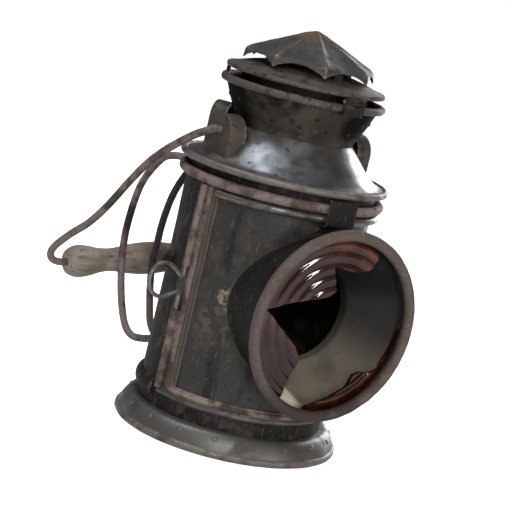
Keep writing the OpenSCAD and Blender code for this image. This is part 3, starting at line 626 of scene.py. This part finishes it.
# Sheet brass gone brown, with the winder's knob handled bright
BRASS = surface("burner_brass", "#7a6636", 0.4, 0.85, [
    on("#4a3d27", 0.6, 0.4, 8, 0.45, 0.66, 5),
    on("#2a2318", 0.7, 0.1, 4, 0.58, 0.7, 5, shift=0.4),
    on("#a48a4c", 0.3, 0.95, 2, 0.64, 0.74, 3)], PITS[1:])

# Reflector: silvered tin, smoked and finger-marked
REFLECTOR = surface("reflector_tin", "#8c8a86", 0.3, 0.9, [
    on("#4c4741", 0.55, 0.4, 15, 0.42, 0.66, 5),
    on("#25221e", 0.7, 0.1, 24, 0.5, 0.7, shift=0.5),
    on("#b4b2ac", 0.2, 0.95, 3, 0.62, 0.72)], PITS[1:])

# Woven cotton wick, charred at the top
WICK = surface("wick_cotton", "#b9ae98", 0.95, 0.0, [
    on("#8f836c", 0.95, None, 0.9, 0.45, 0.6, 1),
    on("#1a1613", 0.95, None, 6, 0.1, 0.2, height=(70, 76))], [(0.9, 0.25, 1)], 0.2)


def pressed_glass():
    """Red pressed glass: dark brownish ruby, a hard clear surface, a little dust in its rings;
    painted shade darkens the lower left piece and the grooves between the rings.
    """
    material = surface("lens_glass", "#6e3a24", 0.07, 0.0, [
        on("#3a180d", None, None, 30, 0.4, 0.6),
        # painted shade: the lower left piece darker, where the hood is dark behind it
        on("#2c1009", None, None, 40, 0.1, 0.3, spot=((-40, -78, 58), 40)),
        # painted shade: dark bands in the grooves between the rings
        on("#1c0b07", None, None, 18, 0.2, 0.5, rings=(RING_PITCH, 0.4, -0.7), strength=0.8),
        on("#5c4234", 0.3, None, 14, 0.55, 0.8, strength=0.35),
        on("#8a7465", 0.5, None, 1.5, 0.7, 0.78, 3, strength=0.4)],
        [(14, 0.15, 1)], 0.3)
    shader = material.node_tree.nodes["Principled BSDF"]
    shader.inputs["Transmission Weight"].default_value = 0.4
    shader.inputs["IOR"].default_value = 1.52
    return material


GLASS = pressed_glass()

# Foot


def foot():
    wired_edge("foot_rim", "base_rim_wire", EDGE, "case", count=220, uneven=0.2, wave=16,
               inwards=True)
    line = softened([[BODY_R - 0.3, 14.5], [62.2, 14.5], [63.9, 13.9], [65.6, 12.3], [67.2, 10],
                     [68.6, 7.3], [69.7, 4.4]], 0.5, 2)
    make("foot_skirt", turned(sheet_section(line, SHEET, -1), count=220, uneven=0.15, wave=22,
                              seed=3), FOOT, "case", "base_skirt")
    make("foot_rivets", rivet_heads([(66.3, 11.15, 34.8, np.arange(18) * 20)], 1.7, 0.75), FOOT,
         "case", "base_rivets")


# Drum


def drum():
    """Sheet cylinder, a grid of azimuth and height without the cells of the door's opening."""
    low, high = box_mm("body_drum")
    edge = radians(90.2)
    front = np.linspace(-edge, edge, 121)
    azimuths = np.concatenate([front, np.linspace(edge, FULL_TURN - edge, 121)[1:-1]])
    heights = np.unique(np.concatenate([
        np.linspace(low[2], DOOR_LOW, 10), np.linspace(DOOR_LOW, DOOR_HIGH, 60),
        np.linspace(DOOR_HIGH, high[2], 8)]))
    height, azimuth = np.meshgrid(heights, azimuths, indexing="ij")
    out = dents(round_lamp(BODY_R, height, azimuth), 45, 0.16, 5)
    skins = [round_lamp(BODY_R - inset + out, height, azimuth) for inset in (0, SHEET)]
    middle = (heights[:-1] + heights[1:]) / 2
    in_door = (middle > DOOR_LOW) & (middle < DOOR_HIGH)
    keep = ~(in_door[:, None] & (np.arange(len(azimuths)) < len(front) - 1)[None, :])
    make("drum", shell(*skins, False, True, keep), DARK, "case", "body_drum")


def bead_outline(centre, radius, sides=22):
    """Circle of a bead, cut off just inside the drum's face."""
    outline = circle_section(centre, radius, sides)
    outline[:, 0] = np.maximum(outline[:, 0], BEAD_SEAT)
    return outline


def body_beads():
    make("drum_top_bead", turned(bead_outline((61.6, 160), 3), count=200, **SLIGHT), WORN, "case",
         "top_bead")
    rear = bead_outline((55.9, 25), 6.5, 30)
    make("drum_rear_bead", turned(rear, angles=arc(91, 269, 130), **SLIGHT), DARK, "case",
         "rear_bead")
    sill = bead_outline((57.6, 25.1), 2.0)
    sill[:, 1] = np.clip(sill[:, 1], 23.4, 26.6)
    make("sill", turned(sill, angles=arc(-87, 87, 150), uneven=0.2, wave=14, seed=9), FOOT,
         "case", "sill_strip")


# Shoulder, collar and chimney

SHOULDER_LINE = [[NECK_R, NECK_Z], [50.2, 177.6], [56, 172.6], [59, 171.2], [62.3, 170.9]]


def shoulder_height(radius):
    line = np.array(SHOULDER_LINE)
    return np.interp(radius, line[:, 0], line[:, 1])


def shoulder():
    cone = sheet_section(softened(SHOULDER_LINE, 0.7, 3), SHEET, -1)
    flange = sheet_section([[BODY_R - SHEET, z] for z in (163, 167, 171)], SHEET, 1)
    make("shoulder_cone", joined([turned(cone, count=200, uneven=0.22, wave=34, seed=11),
                                  turned(flange, count=120)]), TINNED, "case", "shoulder")
    wired_edge("eave_roll", "eave_wire", EDGE, "case", count=220, uneven=0.14, wave=17, seed=12)


def collar():
    line = softened([[NECK_R, NECK_Z], [37.2, 195], [39.2, 199.4], [43.2, 207.1], [46.4, 214.4],
                     [47.6, 217.6]], 0.7, 2)
    make("collar_sheet", turned(sheet_section(line, SHEET, 1), count=180, uneven=0.2, wave=26,
                                seed=14), SOOTY, "case", "collar")
    wired_edge("collar_roll", "collar_rim_wire", SMOKED, "case", count=200, uneven=0.16, wave=13,
               seed=15)
    steps = np.arange(15) * 24
    rows = [(43.9, 208.8, -23.7, 3 + steps), (40.5, 202, -27.5, 15 + steps)]
    make("collar_rivet_heads", rivet_heads(rows, 1.5, 0.75), SOOT, "case", "collar_rivets")
    line = softened([[35.9, 184], [35.9, 194.5], [39, 224.4]], 1.2, 2)
    make("chimney", turned(sheet_section(line, 0.8, 1), count=120, uneven=0.15, seed=16), SOOTY,
         "case", "inner_chimney")


# Ears


def ear(name, node, azimuth, radius=12.5, face_x=54.2, depth=11.2):
    """Shallow cup that stands on the shoulder. Its grid runs along the outline (up one leg, over
    the half circle, down the other) and, across, from the open edge round the corner to the
    middle of the foot of its face."""
    corner, leg = 1.3, 20
    centre_z = box_mm(node)[1][2] - radius
    up_leg = [(1, 0, -z) for z in np.linspace(leg, 0, 12, endpoint=False)]
    top = [(cos(a), sin(a), 0) for a in np.linspace(0, pi, 40)]
    outline = np.array(up_leg + top + [(-1, 0, z) for _, _, z in up_leg[::-1]])[:, None]

    def skin(inset):
        """Path across: depth and radius along the wall, round the corner and over the face."""
        r, bend = radius - inset, corner - inset
        wall = [(depth - d, r) for d in np.linspace(0, depth - corner, 6)[:-1]]
        rounded = [(corner - bend * sin(b), r - bend + bend * cos(b))
                   for b in np.radians([0, 22, 45, 68, 90])]
        face = [(inset, (r - bend) * share) for share in np.linspace(1, 0, 9)[1:]]
        inwards, reach = np.array(wall + rounded + face).T
        across = outline[..., 0] * reach
        up = centre_z - leg + (leg + outline[..., 1] * reach + outline[..., 2]) \
            * np.clip(reach / (radius - corner), 0, 1)
        distance = face_x - inwards
        x = distance * sin(azimuth) + across * cos(azimuth)
        y = -distance * cos(azimuth) + across * sin(azimuth)
        up = np.maximum(up, shoulder_height(np.hypot(x, y)) - 0.25)
        up += dents(np.stack([x, y, up], -1), 12, 0.12, 21) * (outline[..., 2] == 0)
        return np.stack([x, y, up], -1)

    make(name, shell(skin(0.0), skin(1.0)), EAR, "case", node, crease=50)


def ears():
    ear("ear_left", "left_ear", radians(-90))
    ear("ear_right", "right_ear", radians(90))
    ear("ear_rear", "rear_ear", radians(-142), 9.6, 52.8, 10.6)


# Cap: a roof of eight panels, UMBRELLA_R wide at their corners, where the scallops hang lowest

UMBRELLA_R = 41.9
UMBRELLA_TOP = 257.3
UMBRELLA_EAVE = 238.9
UMBRELLA_DROP = 5.2
PANEL = radians(45)
PANEL_STEPS = 30


def umbrella_point(u, a, inset):
    """Roof of eight panels: u runs from 0 at the apex to 1 at the hem and on to 2 down the hem's
    scallop, a from -1 to 1 across a panel. Flat panels sag a little and rise to a rib between."""
    rise, depth, bend, dip = 0.9, 0.35, 0.9, 0.8
    eave = UMBRELLA_R * cos(PANEL / 2) / np.cos(a * PANEL / 2)
    top, hem = np.minimum(u, 1), np.clip(u - 1, 0, 1)
    rib = rise * np.exp(-(((1 - np.abs(a)) * eave * top * PANEL / 2) / (0.8 + 2.4 * top)) ** 2)
    rib *= np.minimum(1, 6 * top)
    sag = depth * np.sin(pi * np.clip(top, 0, 1)) * np.cos(a * pi / 2)
    radius = top * (eave - bend) + bend * np.sin(hem * pi / 2)
    height = UMBRELLA_TOP - (UMBRELLA_TOP - UMBRELLA_EAVE) * top + rib - sag
    height -= dip * np.clip((top - 0.9) / 0.1, 0, 1) ** 2
    drop = 1 + UMBRELLA_DROP * np.abs(a) ** 2.2 + rise * np.exp(-((1 - np.abs(a)) / 0.1) ** 2) - dip
    height -= drop * hem ** 1.3
    inwards = inset * (0.3 + 0.6 * top ** 6 * (1 - hem) + 0.6 * hem)
    return radius - inwards, height - inset * (1 - hem)


def cap():
    a = np.tile(np.linspace(-1, 1, PANEL_STEPS, endpoint=False), 8)
    turn = -pi / 8 + np.arange(len(a)) / PANEL_STEPS * PANEL
    u = np.concatenate([[0.02], np.linspace(0.05, 1, 34), 1 + np.linspace(0.12, 1, 8)])
    across, along = np.meshgrid(a, u)
    azimuth, _ = np.meshgrid(turn, u)
    skins = []
    for inset in (0, 0.8):
        radius, height = umbrella_point(along, across, inset)
        points = round_lamp(np.maximum(radius, 0.02), height, azimuth)
        points[..., 2] += dents(points, 17, 0.14, 31) * np.minimum(1, 5 * along)
        skins.append(points)
    make("umbrella", shell(*skins, False, True), ROOF, "cap", "cap_umbrella", crease=60)
    line = softened([[15, 236.6], [36.4, 231.6], [40.5, 230.3], [45.9, 228.6], [47.6, 228.1]],
                    0.8, 3)
    make("cap_plate", turned(sheet_section(line, SHEET, -1), count=180, uneven=0.2, wave=24,
                             seed=33), LIT_PLATE, "cap", "cap_disc")
    wired_edge("cap_plate_roll", "cap_disc_wire", SMOKED, "cap", count=200, uneven=0.16, wave=15,
               seed=34)


# Bail, grip and hand loops: centre lines of the wire

BAIL_ARM = [[-49, 0, 189], [-55.5, 0, 189], [-58, 1.2, 188.4], [-60.6, 6, 185.4], [-63, 14, 180.6],
            [-64.5, 33, 168.6], [-65.6, 50, 155.5], [-66.5, 66, 138.9], [-68.2, 83, 117.9],
            [-70, 98, 102.3], [-71.8, 114, 90.2], [-73.2, 127, 79.1], [-73.6, 131.8, 72.6],
            [-72, 132, 68.1], [-68, 130.6, 66.5], [-63.4, 130, 66.7]]
GRIP_CENTRE = np.array([0, 130, 74.6])
GRIP_ALONG = np.array([64, 0, 8]) / hypot(64, 8)
GRIP_LENGTH = 124.0


def bail():
    left = np.array(BAIL_ARM)
    lift = 16 * (np.clip(np.arange(len(left)) - 1, 0, None) / (len(left) - 2)) ** 1.5
    right = left * [-0.997, 1, 1] + np.stack([lift * 0, lift * 0, lift], 1)
    path = np.concatenate([curve_through(left, 5), curve_through(right, 5)[::-1]])
    head = np.array([[0.01, 0], [3.2, 0], [3.8, 0.5], [3.8, 1.2], [2.4, 1.6], [0.01, 1.6]])
    heads = [turned(head, count=24, place=lambda r, h, t, s=s: np.stack(
        [s * (49.6 - h) + 0 * t, r * np.cos(t), 189 + r * np.sin(t)], -1)) for s in (-1, 1)]
    make("bail", joined([tube(path, WIRE_R, 16, 41)] + heads), WIRE, "bail", "bail_wire")


def grip():
    """Turned wood: radius from the profile, less grain grooves and a few long cracks, and a
    bore for the wire."""
    count, bore, end = 120, 2.8, 6.3
    half = GRIP_LENGTH / 2
    profile = [[0.5, 6.9], [0.49, 8.6], [0.46, 10.3], [0.42, 11], [0.37, 10.2], [0.3, 8.4],
               [0.22, 8.1], [0.12, 10], [0.04, 11], [0, 11.05]]
    side = curve_through(profile, 9)
    along, radius = np.concatenate([side * [-1, 1], side[-2::-1]]).T * [[GRIP_LENGTH], [1]]
    turn = around(count)
    s, t = np.meshgrid(along, turn, indexing="ij")
    grain = np.stack([s * 0.05, np.cos(t) * 5, np.sin(t) * 5], -1)
    r = radius[:, None] - (0.1 + dents(grain, 1.5, 0.1, 44))
    for angle, place, length, depth in ((1.1, -40, 18, 0.7), (2.7, 30, 24, 0.6), (4.3, -8, 30, 0.5),
                                        (5.6, 46, 14, 0.8), (0.2, 52, 9, 0.7), (3.5, -52, 10, 0.9)):
        off = np.angle(np.exp(1j * (t - angle - 0.02 * np.sin(s / 3))))
        r -= depth * np.exp(-(off * r / 0.45) ** 2) * np.exp(-((s - place) / length) ** 4)
    rows = np.concatenate([[-half, -half], along, [half, half]])[:, None, None]
    ends = np.full((4, count), [[bore], [end], [end], [bore]])
    r = np.concatenate([ends[:2], r, ends[2:]])[..., None]
    ring = np.cos(turn)[:, None] * np.array([0, 1.0, 0]) \
        + np.sin(turn)[:, None] * np.cross(GRIP_ALONG, [0, 1, 0])
    points = GRIP_CENTRE + rows * GRIP_ALONG + r * ring
    cells = quads(len(rows), count, True, True)
    make("handle", outward(points.reshape(-1, 3), [cells]), WOOD, "grip", "grip", crease=60)


LOOP_TOP = [[0, 141], [0, 147], [0.1, 151], [0.9, 153], [3.6, 154.1]]
LOOP_FOOT = [[22, 31.4], [14, 34], [4, 37.4], [1, 39], [0, 41.3], [0, 46], [0, 51.4]]
LEFT_LOOP = [[12, 154.8], [22.7, 155.2], [31, 154], [37.2, 150.9], [43, 143.7], [48.2, 134.6],
             [51.4, 125], [53.4, 112], [54.3, 97], [53.6, 85], [51.8, 74], [49.3, 62.5],
             [45.4, 50], [40.8, 39.4], [36, 33], [30, 30.2]]
RIGHT_LOOP = [[11, 154.8], [20, 155], [28, 153.6], [34, 150.3], [39.4, 144.6], [45, 133.4],
              [48.4, 123.5], [50.6, 111.8], [51.7, 100], [51.8, 89.5], [51.9, 79.2], [51.3, 68.9],
              [49.3, 58.1], [46.8, 48.3], [43.6, 38], [38.6, 31.6], [31, 29.6]]


def hand_loops():
    lean = radians(22)
    for name, node, points, x, material in (
            ("loop_left", "left_hand_loop", LEFT_LOOP, -12, WIRE),
            ("loop_right", "right_hand_loop", RIGHT_LOOP, 12, SHADED_WIRE)):
        out, up = curve_through(LOOP_TOP + points + LOOP_FOOT, 5).T
        path = np.stack([x - out * sin(lean), 62 + out * cos(lean), up], 1)
        make(name, tube(path, WIRE_R, 16, 46 + x), material, node, node)


# Door

RING_AZ = radians(-84.6)
RING_X, RING_Y = 60.4 * sin(RING_AZ), -60.4 * cos(RING_AZ)


def door_panel():
    """Curved sheet as rings of points from the light hole's edge to the door's outline, worked
    out on the flattened sheet (arc length, height)."""
    hole, low, high = 38.0, 27.6, 156.3
    left, right = radians(-89.6) * BODY_R, radians(88.0) * BODY_R
    corners = np.array([[left, high], [right, high], [right, low], [left, low]])
    share = np.linspace(0, 1, 46, endpoint=False)[:, None]
    border = np.concatenate([a + (b - a) * share for a, b in zip(corners, np.roll(corners, -1, 0))])
    turn = np.arctan2(border[:, 1] - LENS_Z, border[:, 0])
    edge = np.stack([BODY_R * np.arcsin(hole * np.cos(turn) / BODY_R),
                     LENS_Z + hole * np.sin(turn)], 1)
    t = np.linspace(0, 1, 26)[:, None, None]
    flat = edge * (1 - t) + border * t
    azimuth, height = flat[..., 0] / BODY_R, flat[..., 1]
    out = dents(round_lamp(BODY_R, height, azimuth), 40, 0.16, 6)
    skins = [round_lamp(BODY_R - inset + out, height, azimuth) for inset in (0, SHEET)]
    make("door_sheet", shell(*skins, False, True), DOOR, "door", "door_panel")


def upright(outline, z0, z1, count=60, seed=1, uneven=0.1):
    """A closed plan outline (x, y) carried up from z0 to z1, a little wavy."""
    heights = np.linspace(z0, z1, count)
    sway = dents(np.stack([0 * heights, 0 * heights, heights], 1), 24, uneven, seed)
    flat = outline + sway[:, None, None] * unit(outline)
    up = np.broadcast_to(heights[:, None, None], (*flat.shape[:2], 1))
    return strung(np.concatenate([flat, up], -1), False)


def plan(azimuths, radii):
    """Plan outline of a strip on the drum, from its seat out to the radii; azimuths in degrees."""
    a = np.radians(azimuths)
    out = np.stack([np.sin(a), -np.cos(a)], 1)
    return np.concatenate([np.array(radii)[:, None] * out, STRIP_SEAT * out[::-1]])


def door_edges():
    top = bead_outline((60.9, 153.7), 2.6)
    make("door_top_bead", turned(top, angles=arc(-72.1, 84, 150), **SLIGHT), STRIP, "door",
         "door_top_strip")
    low = bead_outline((58.9, 29.2), 1.3)
    ledge = np.array([[STRIP_SEAT, 27.6], [59.3, 27.6], [59.4, 28], [59.4, 31.8], [59.2, 32],
                      [STRIP_SEAT, 32]])
    angles = arc(-78.2, 84, 150)
    make("door_bottom_bead", joined([turned(low, angles=angles, uneven=0.08, wave=14, seed=61),
                                     turned(ledge, angles=angles)]),
         BAND, "door", "door_bottom_strip")
    left = plan([-78, -77.4, -76.5, -76.1, -75.5, -74.9, -74.5, -73.8, -73.4, -73, -72.6, -72.3],
                [59.0, 58.8, 58.9, 59.5, 59.9, 59.5, 59.1, 59, 59.3, 59.4, 59.3, 58.9])
    make("door_left_seam", upright(left, 32.1, 155.9), SEAM, "door", "door_left_strip")
    right = plan([75, 75.3, 76.2, 76.5, 76.8, 77.1, 77.4, 78.3, 78.6],
                 [59.1, 59.3, 59.3, 59.7, 59.8, 59.7, 59.3, 59.3, 59.1])
    make("door_right_seam", upright(right, 32.1, 150.9, seed=3), DARK, "door", "door_right_strip")
    foot, gap_low, gap_high, top = 28, 59.7, 105.0, 155.9
    roll = circle_section((RING_X, RING_Y), 2.5, 20)
    upper_roll = circle_section((RING_X + 0.1, RING_Y - 0.65), 2.15, 20)
    strip = plan([-88, -86, -84.5, -82.8, -81.6, -80.6, -79.4, -78.6, -78.1],
                 [59.5, 59.6, 59.3, 58.8, 59.3, 59.6, 59.6, 59.4, 59])
    thin = plan([-82.6, -82.3, -80.4, -79, -78.1], [59.0, 59.2, 59.5, 59.4, 59])
    make("door_roll", joined([
        upright(roll, foot, gap_low, 40, 71), upright(strip, foot, gap_low, 40, 71),
        upright(upper_roll, gap_high, top, 50, 71), upright(strip, gap_high, top, 50, 71),
        upright(thin, gap_low, gap_high)]), WORN, "door", "door_edge_roll")
    sleeve = circle_section((RING_X, RING_Y), 2.9, 20)
    cover = plan([-88.6, -86, -83, -81.2, -80.6, -80.3], [60, 60.3, 60.3, 60.1, 59.9, 59.4])
    make("ring_sleeve", joined([upright(outline, gap_low, 77.7, 24, 72, 0.05)
                                for outline in (sleeve, cover)]), WORN, "door", "ring_tab")


def pull_ring():
    loop = [[0, 108.8], [0, 101], [0.2, 98.4], [2.2, 98.8], [5.5, 101.6], [10.5, 104.7],
            [16, 105.4], [20.3, 103.2], [22.9, 98.4], [22.6, 91.6], [19.8, 87.2], [15.4, 84.7],
            [10.4, 84.8], [5.8, 86.6], [2.4, 88], [0.2, 87.8], [0, 85], [0, 72.2]]
    out, up = curve_through(loop, 6).T
    path = np.stack([RING_X - out, np.full(len(out), RING_Y), up], 1)
    make("ring", tube(path, 1.35, 12, 75, 0.04), BRIGHT, "pull_ring", "pull_ring")


def catch():
    """Strap at the door's top, stepped out over the drum's bead, and its fold at the foot."""
    line = softened([[59.4, 145.4], [59.5, 149.2], [65.2, 149.6], [66, 150.6], [66, 165.9]], 0.5, 2)
    strap = sheet_section(line, 1, 1)
    fold = np.array([[STRIP_SEAT, 145.2], [59.4, 145.2], [59.5, 145.5], [59.5, 146.8], [59.4, 147],
                     [STRIP_SEAT, 147]])
    make("catch", joined([turned(strap, angles=arc(-9, 9, 24), uneven=0.08, wave=12, seed=77),
                          turned(fold, angles=arc(-10.5, 10.5, 24))]), SHADED_JAPAN, "door", "front_catch")


# Lens hood

HOOD_LINE = softened([[45, 30], [45.6, 44], [46.8, 54], [49, 63], [52.2, 71], [55.6, 77.5],
                      [56.9, 79.6]], 1.0, 4)


def hood():
    """Flared tube round the lens axis: each line starts on the drum, at the distance where
    x = r cos(angle) meets the drum's radius, a little sunk and flared, and runs to the rim."""
    angle, share = np.meshgrid(around(180), np.linspace(0, 1, 40) ** 1.3)
    sunk, flare = 0.5, 1.1

    def skin(inset):
        start = np.full(angle.shape, 40.0)
        for _ in range(6):
            r = np.interp(start, HOOD_LINE[:, 1], HOOD_LINE[:, 0]) - inset
            start = np.sqrt(np.maximum(BODY_R ** 2 - (r * np.cos(angle)) ** 2, 0))
        start -= sunk
        distance = start + share * (HOOD_LINE[-1, 1] - start)
        radius = np.interp(distance, HOOD_LINE[:, 1], HOOD_LINE[:, 0]) - inset
        radius += flare * np.exp(-((distance - start) / flare) ** 2) * (inset == 0)
        points = round_lens(radius, distance, angle)
        return round_lens(radius + dents(points, 30, 0.15, 81), distance, angle)

    make("hood_sheet", shell(skin(0), skin(SHEET), False, True), SHADED_JAPAN, "door", "lens_hood")
    wired_edge("hood_rim", "hood_rim_wire", RIM, "door", 1, 20, place=round_lens, count=220,
               uneven=0.2, wave=13, seed=82, inwards=True)
    line = softened([[31, 46], [31, 52], [50.6, 76], [53.6, 76]], 0.8, 1)
    make("liner", turned(sheet_section(line, 1, -1), round_lens, count=160, uneven=0.12, seed=83),
         LINER, "door", "hood_liner")


# Broken edges of the three pieces, from one end on the rim to the other, and which way the
# outline closes along the rim: True for anticlockwise
SHARDS = (
    ([[-53.5, 7.6], [-46.8, 6.8], [-33, 11.5], [-12.5, 15.5], [-5.5, 17], [-1.5, 21], [-4, 28],
      [-7, 35.5], [-4, 35.2], [4.5, 33.7], [12, 33.3], [20, 35], [23.8, 41], [24, 48.4]], True),
    ([[-53.4, 6.6], [-46.6, 5.6], [-41, 1], [-27, -10.5], [-21, -15], [-17, -21], [-17, -25],
      [-20.7, -32.5], [-22.8, -43], [-23.6, -48.6]], False),
    ([[53.9, 0.5], [52, -4], [50, -13], [45.2, -22.7], [46, -25.2], [39, -28.7], [31, -28.4],
      [26.4, -30.5], [24, -38.2], [13, -45], [6.3, -47.8], [-4, -51.5], [-4.3, -53.8]], True))
LENS_R = 53.9
LENS_FRONT = 79.3
LENS_BACK = 76.3


def shard(broken, anticlockwise):
    """One piece of the pressed lens: its outline closes along the lens's rim, points on rings
    fill it, and the front rises and falls with the distance from the middle."""
    edge = softened(broken, 0.9, 1)
    edge *= np.minimum(1, (LENS_R - 0.05) / np.linalg.norm(edge, axis=1))[:, None]
    first, last = (atan2(p[1], p[0]) for p in (edge[0], edge[-1]))
    span = (first - last) % FULL_TURN if anticlockwise else -((last - first) % FULL_TURN)
    steps = max(8, int(abs(span) * LENS_R / 1.2))
    rim = last + span * np.arange(1, steps) / steps
    outline = np.concatenate([edge, LENS_R * np.stack([np.cos(rim), np.sin(rim)], 1)])
    inner, between_rings, along_ring = 16, 0.6, 1.6
    inside = [(r * cos(t), r * sin(t)) for r in np.arange(inner, LENS_R - 0.3, between_rings)
              for t in np.arange(0, FULL_TURN, along_ring / r)]
    count = len(outline)
    border = [(i, (i + 1) % count) for i in range(count)]
    flat, _, triangles, *_ = delaunay_2d_cdt([Vector(p) for p in outline.tolist() + inside], border,
                                             [list(range(count))], 1, 1e-4)
    used, triangles = np.unique(triangles, return_inverse=True)
    triangles = triangles.reshape(-1, 3)
    flat = np.array([list(flat[i]) for i in used])
    r = np.linalg.norm(flat, axis=1)
    ridge, dish = 0.32, 0.7
    front = LENS_FRONT - 0.1 - ridge * (1 - np.cos(r / RING_PITCH * FULL_TURN))
    front -= dish * (r / LENS_R) ** 2
    half = len(flat)
    skins = [np.stack([flat[:, 0], -depth, LENS_Z + flat[:, 1]], 1)
             for depth in (front, np.full(half, LENS_BACK))]
    return outward(np.concatenate(skins),
                   [triangles, triangles[:, ::-1] + half, walls(triangles, half)])


def glass():
    pieces = joined([shard(*piece) for piece in SHARDS])
    make("glass_shards", pieces, GLASS, "door", "lens_glass", crease=60)


# CAD pieces that are shown as they are, each with the material given in this table

SHOWN = (
    (DARK, "jamb_left jamb_right cap_rest_tabs loop_hinge_upper loop_hinge_lower case_hinge_leaves "
           "door_hinge_leaves catch_lug base_plate cap_hinge_leaf reflector_bracket "
           "cap_hinge_bracket"),
    (WIRE, "cap_hinge_pin door_hinge_pins"),
    (SOOTY, "oil_font cap_stays"),
    (BRASS, "filler_cap burner_collar burner_body wick_tube wick_winder"),
    (REFLECTOR, "reflector"),
    (WICK, "wick"))


def dress_cad_pieces():
    for material, nodes in SHOWN:
        for node in nodes.split():
            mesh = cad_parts[node].data
            mesh.materials.clear()
            mesh.materials.append(material)


# Studio

REFLECTED_SHARE = 0.15
EVEN_LIGHT = 0.18


def white_seen(tree, full):
    """`full` where the camera looks, directly or through glass; a share of it in reflections."""
    seen = add(tree, "LightPath").outputs
    through = number(tree, "MAXIMUM", seen["Is Camera Ray"], seen["Is Transmission Ray"])
    mirrored = number(tree, "MULTIPLY", seen["Is Glossy Ray"], REFLECTED_SHARE)
    return number(tree, "MULTIPLY", number(tree, "MAXIMUM", through, mirrored), full)


def studio():
    """White surroundings for the camera and, dimmer, for reflections; a low light from them."""
    world = bpy.data.worlds.new("studio")
    bpy.context.scene.world = world
    world.use_nodes = True
    tree = world.node_tree
    background = tree.nodes["Background"]
    background.inputs["Color"].default_value = (1, 1, 1, 1)
    put(tree, background.inputs["Strength"],
        number(tree, "MAXIMUM", white_seen(tree, 1.0), EVEN_LIGHT))


def softbox(name, place, target, size, power, colour=(1, 1, 1)):
    data = bpy.data.lights.new(name, "AREA")
    data.shape = "RECTANGLE"
    data.size, data.size_y = size
    data.energy = power
    data.color = colour
    lamp = placed(name, data)
    lamp.location = place
    lamp.rotation_euler = (Vector(place) - Vector(target)).to_track_quat("Z", "Y").to_euler()


def floor():
    """Pale ground that the camera sees as white where it is lit, and that keeps the shadow."""
    mesh = bpy.data.meshes.new("floor")
    mesh.from_pydata([(-4, -4, 0), (4, -4, 0), (4, 4, 0), (-4, 4, 0)], [], [(0, 1, 2, 3)])
    ground = placed("floor", mesh)
    ground.location.z = -0.0002
    material = surface("floor", "#e6e6e6", 0.9, 0.0, [], [])
    tree = material.node_tree
    shader = tree.nodes["Principled BSDF"]
    shader.inputs["Emission Color"].default_value = (1, 1, 1, 1)
    put(tree, shader.inputs["Emission Strength"], white_seen(tree, 0.9))
    mesh.materials.append(material)


studio()
floor()
softbox("key", (-0.86, -1.3, 1.05), (0, 0, 0.13), (0.6, 1.0), 17.5)
softbox("side", (1.3, 0.66, 0.46), (0, 0, 0.15), (0.7, 1.1), 18, (0.93, 0.98, 1.0))
softbox("overhead", (-0.46, 0.2, 1.3), (0, 0, 0.18), (0.55, 0.75), 9, (0.82, 0.89, 1.0))
softbox("glint", (0.42, -1.15, 0.34), (0, -0.08, 0.1), (0.05, 0.26), 3.2)
softbox("front", (-0.42, -1.4, 0.14), (0, 0, 0.1), (0.07, 0.26), 2.4, (0.8, 0.88, 1.0))
dress_cad_pieces()

for build in (foot, drum, body_beads, shoulder, collar, ears, cap, bail, grip, hand_loops,
              door_panel, door_edges, pull_ring, catch, hood, glass):
    build()
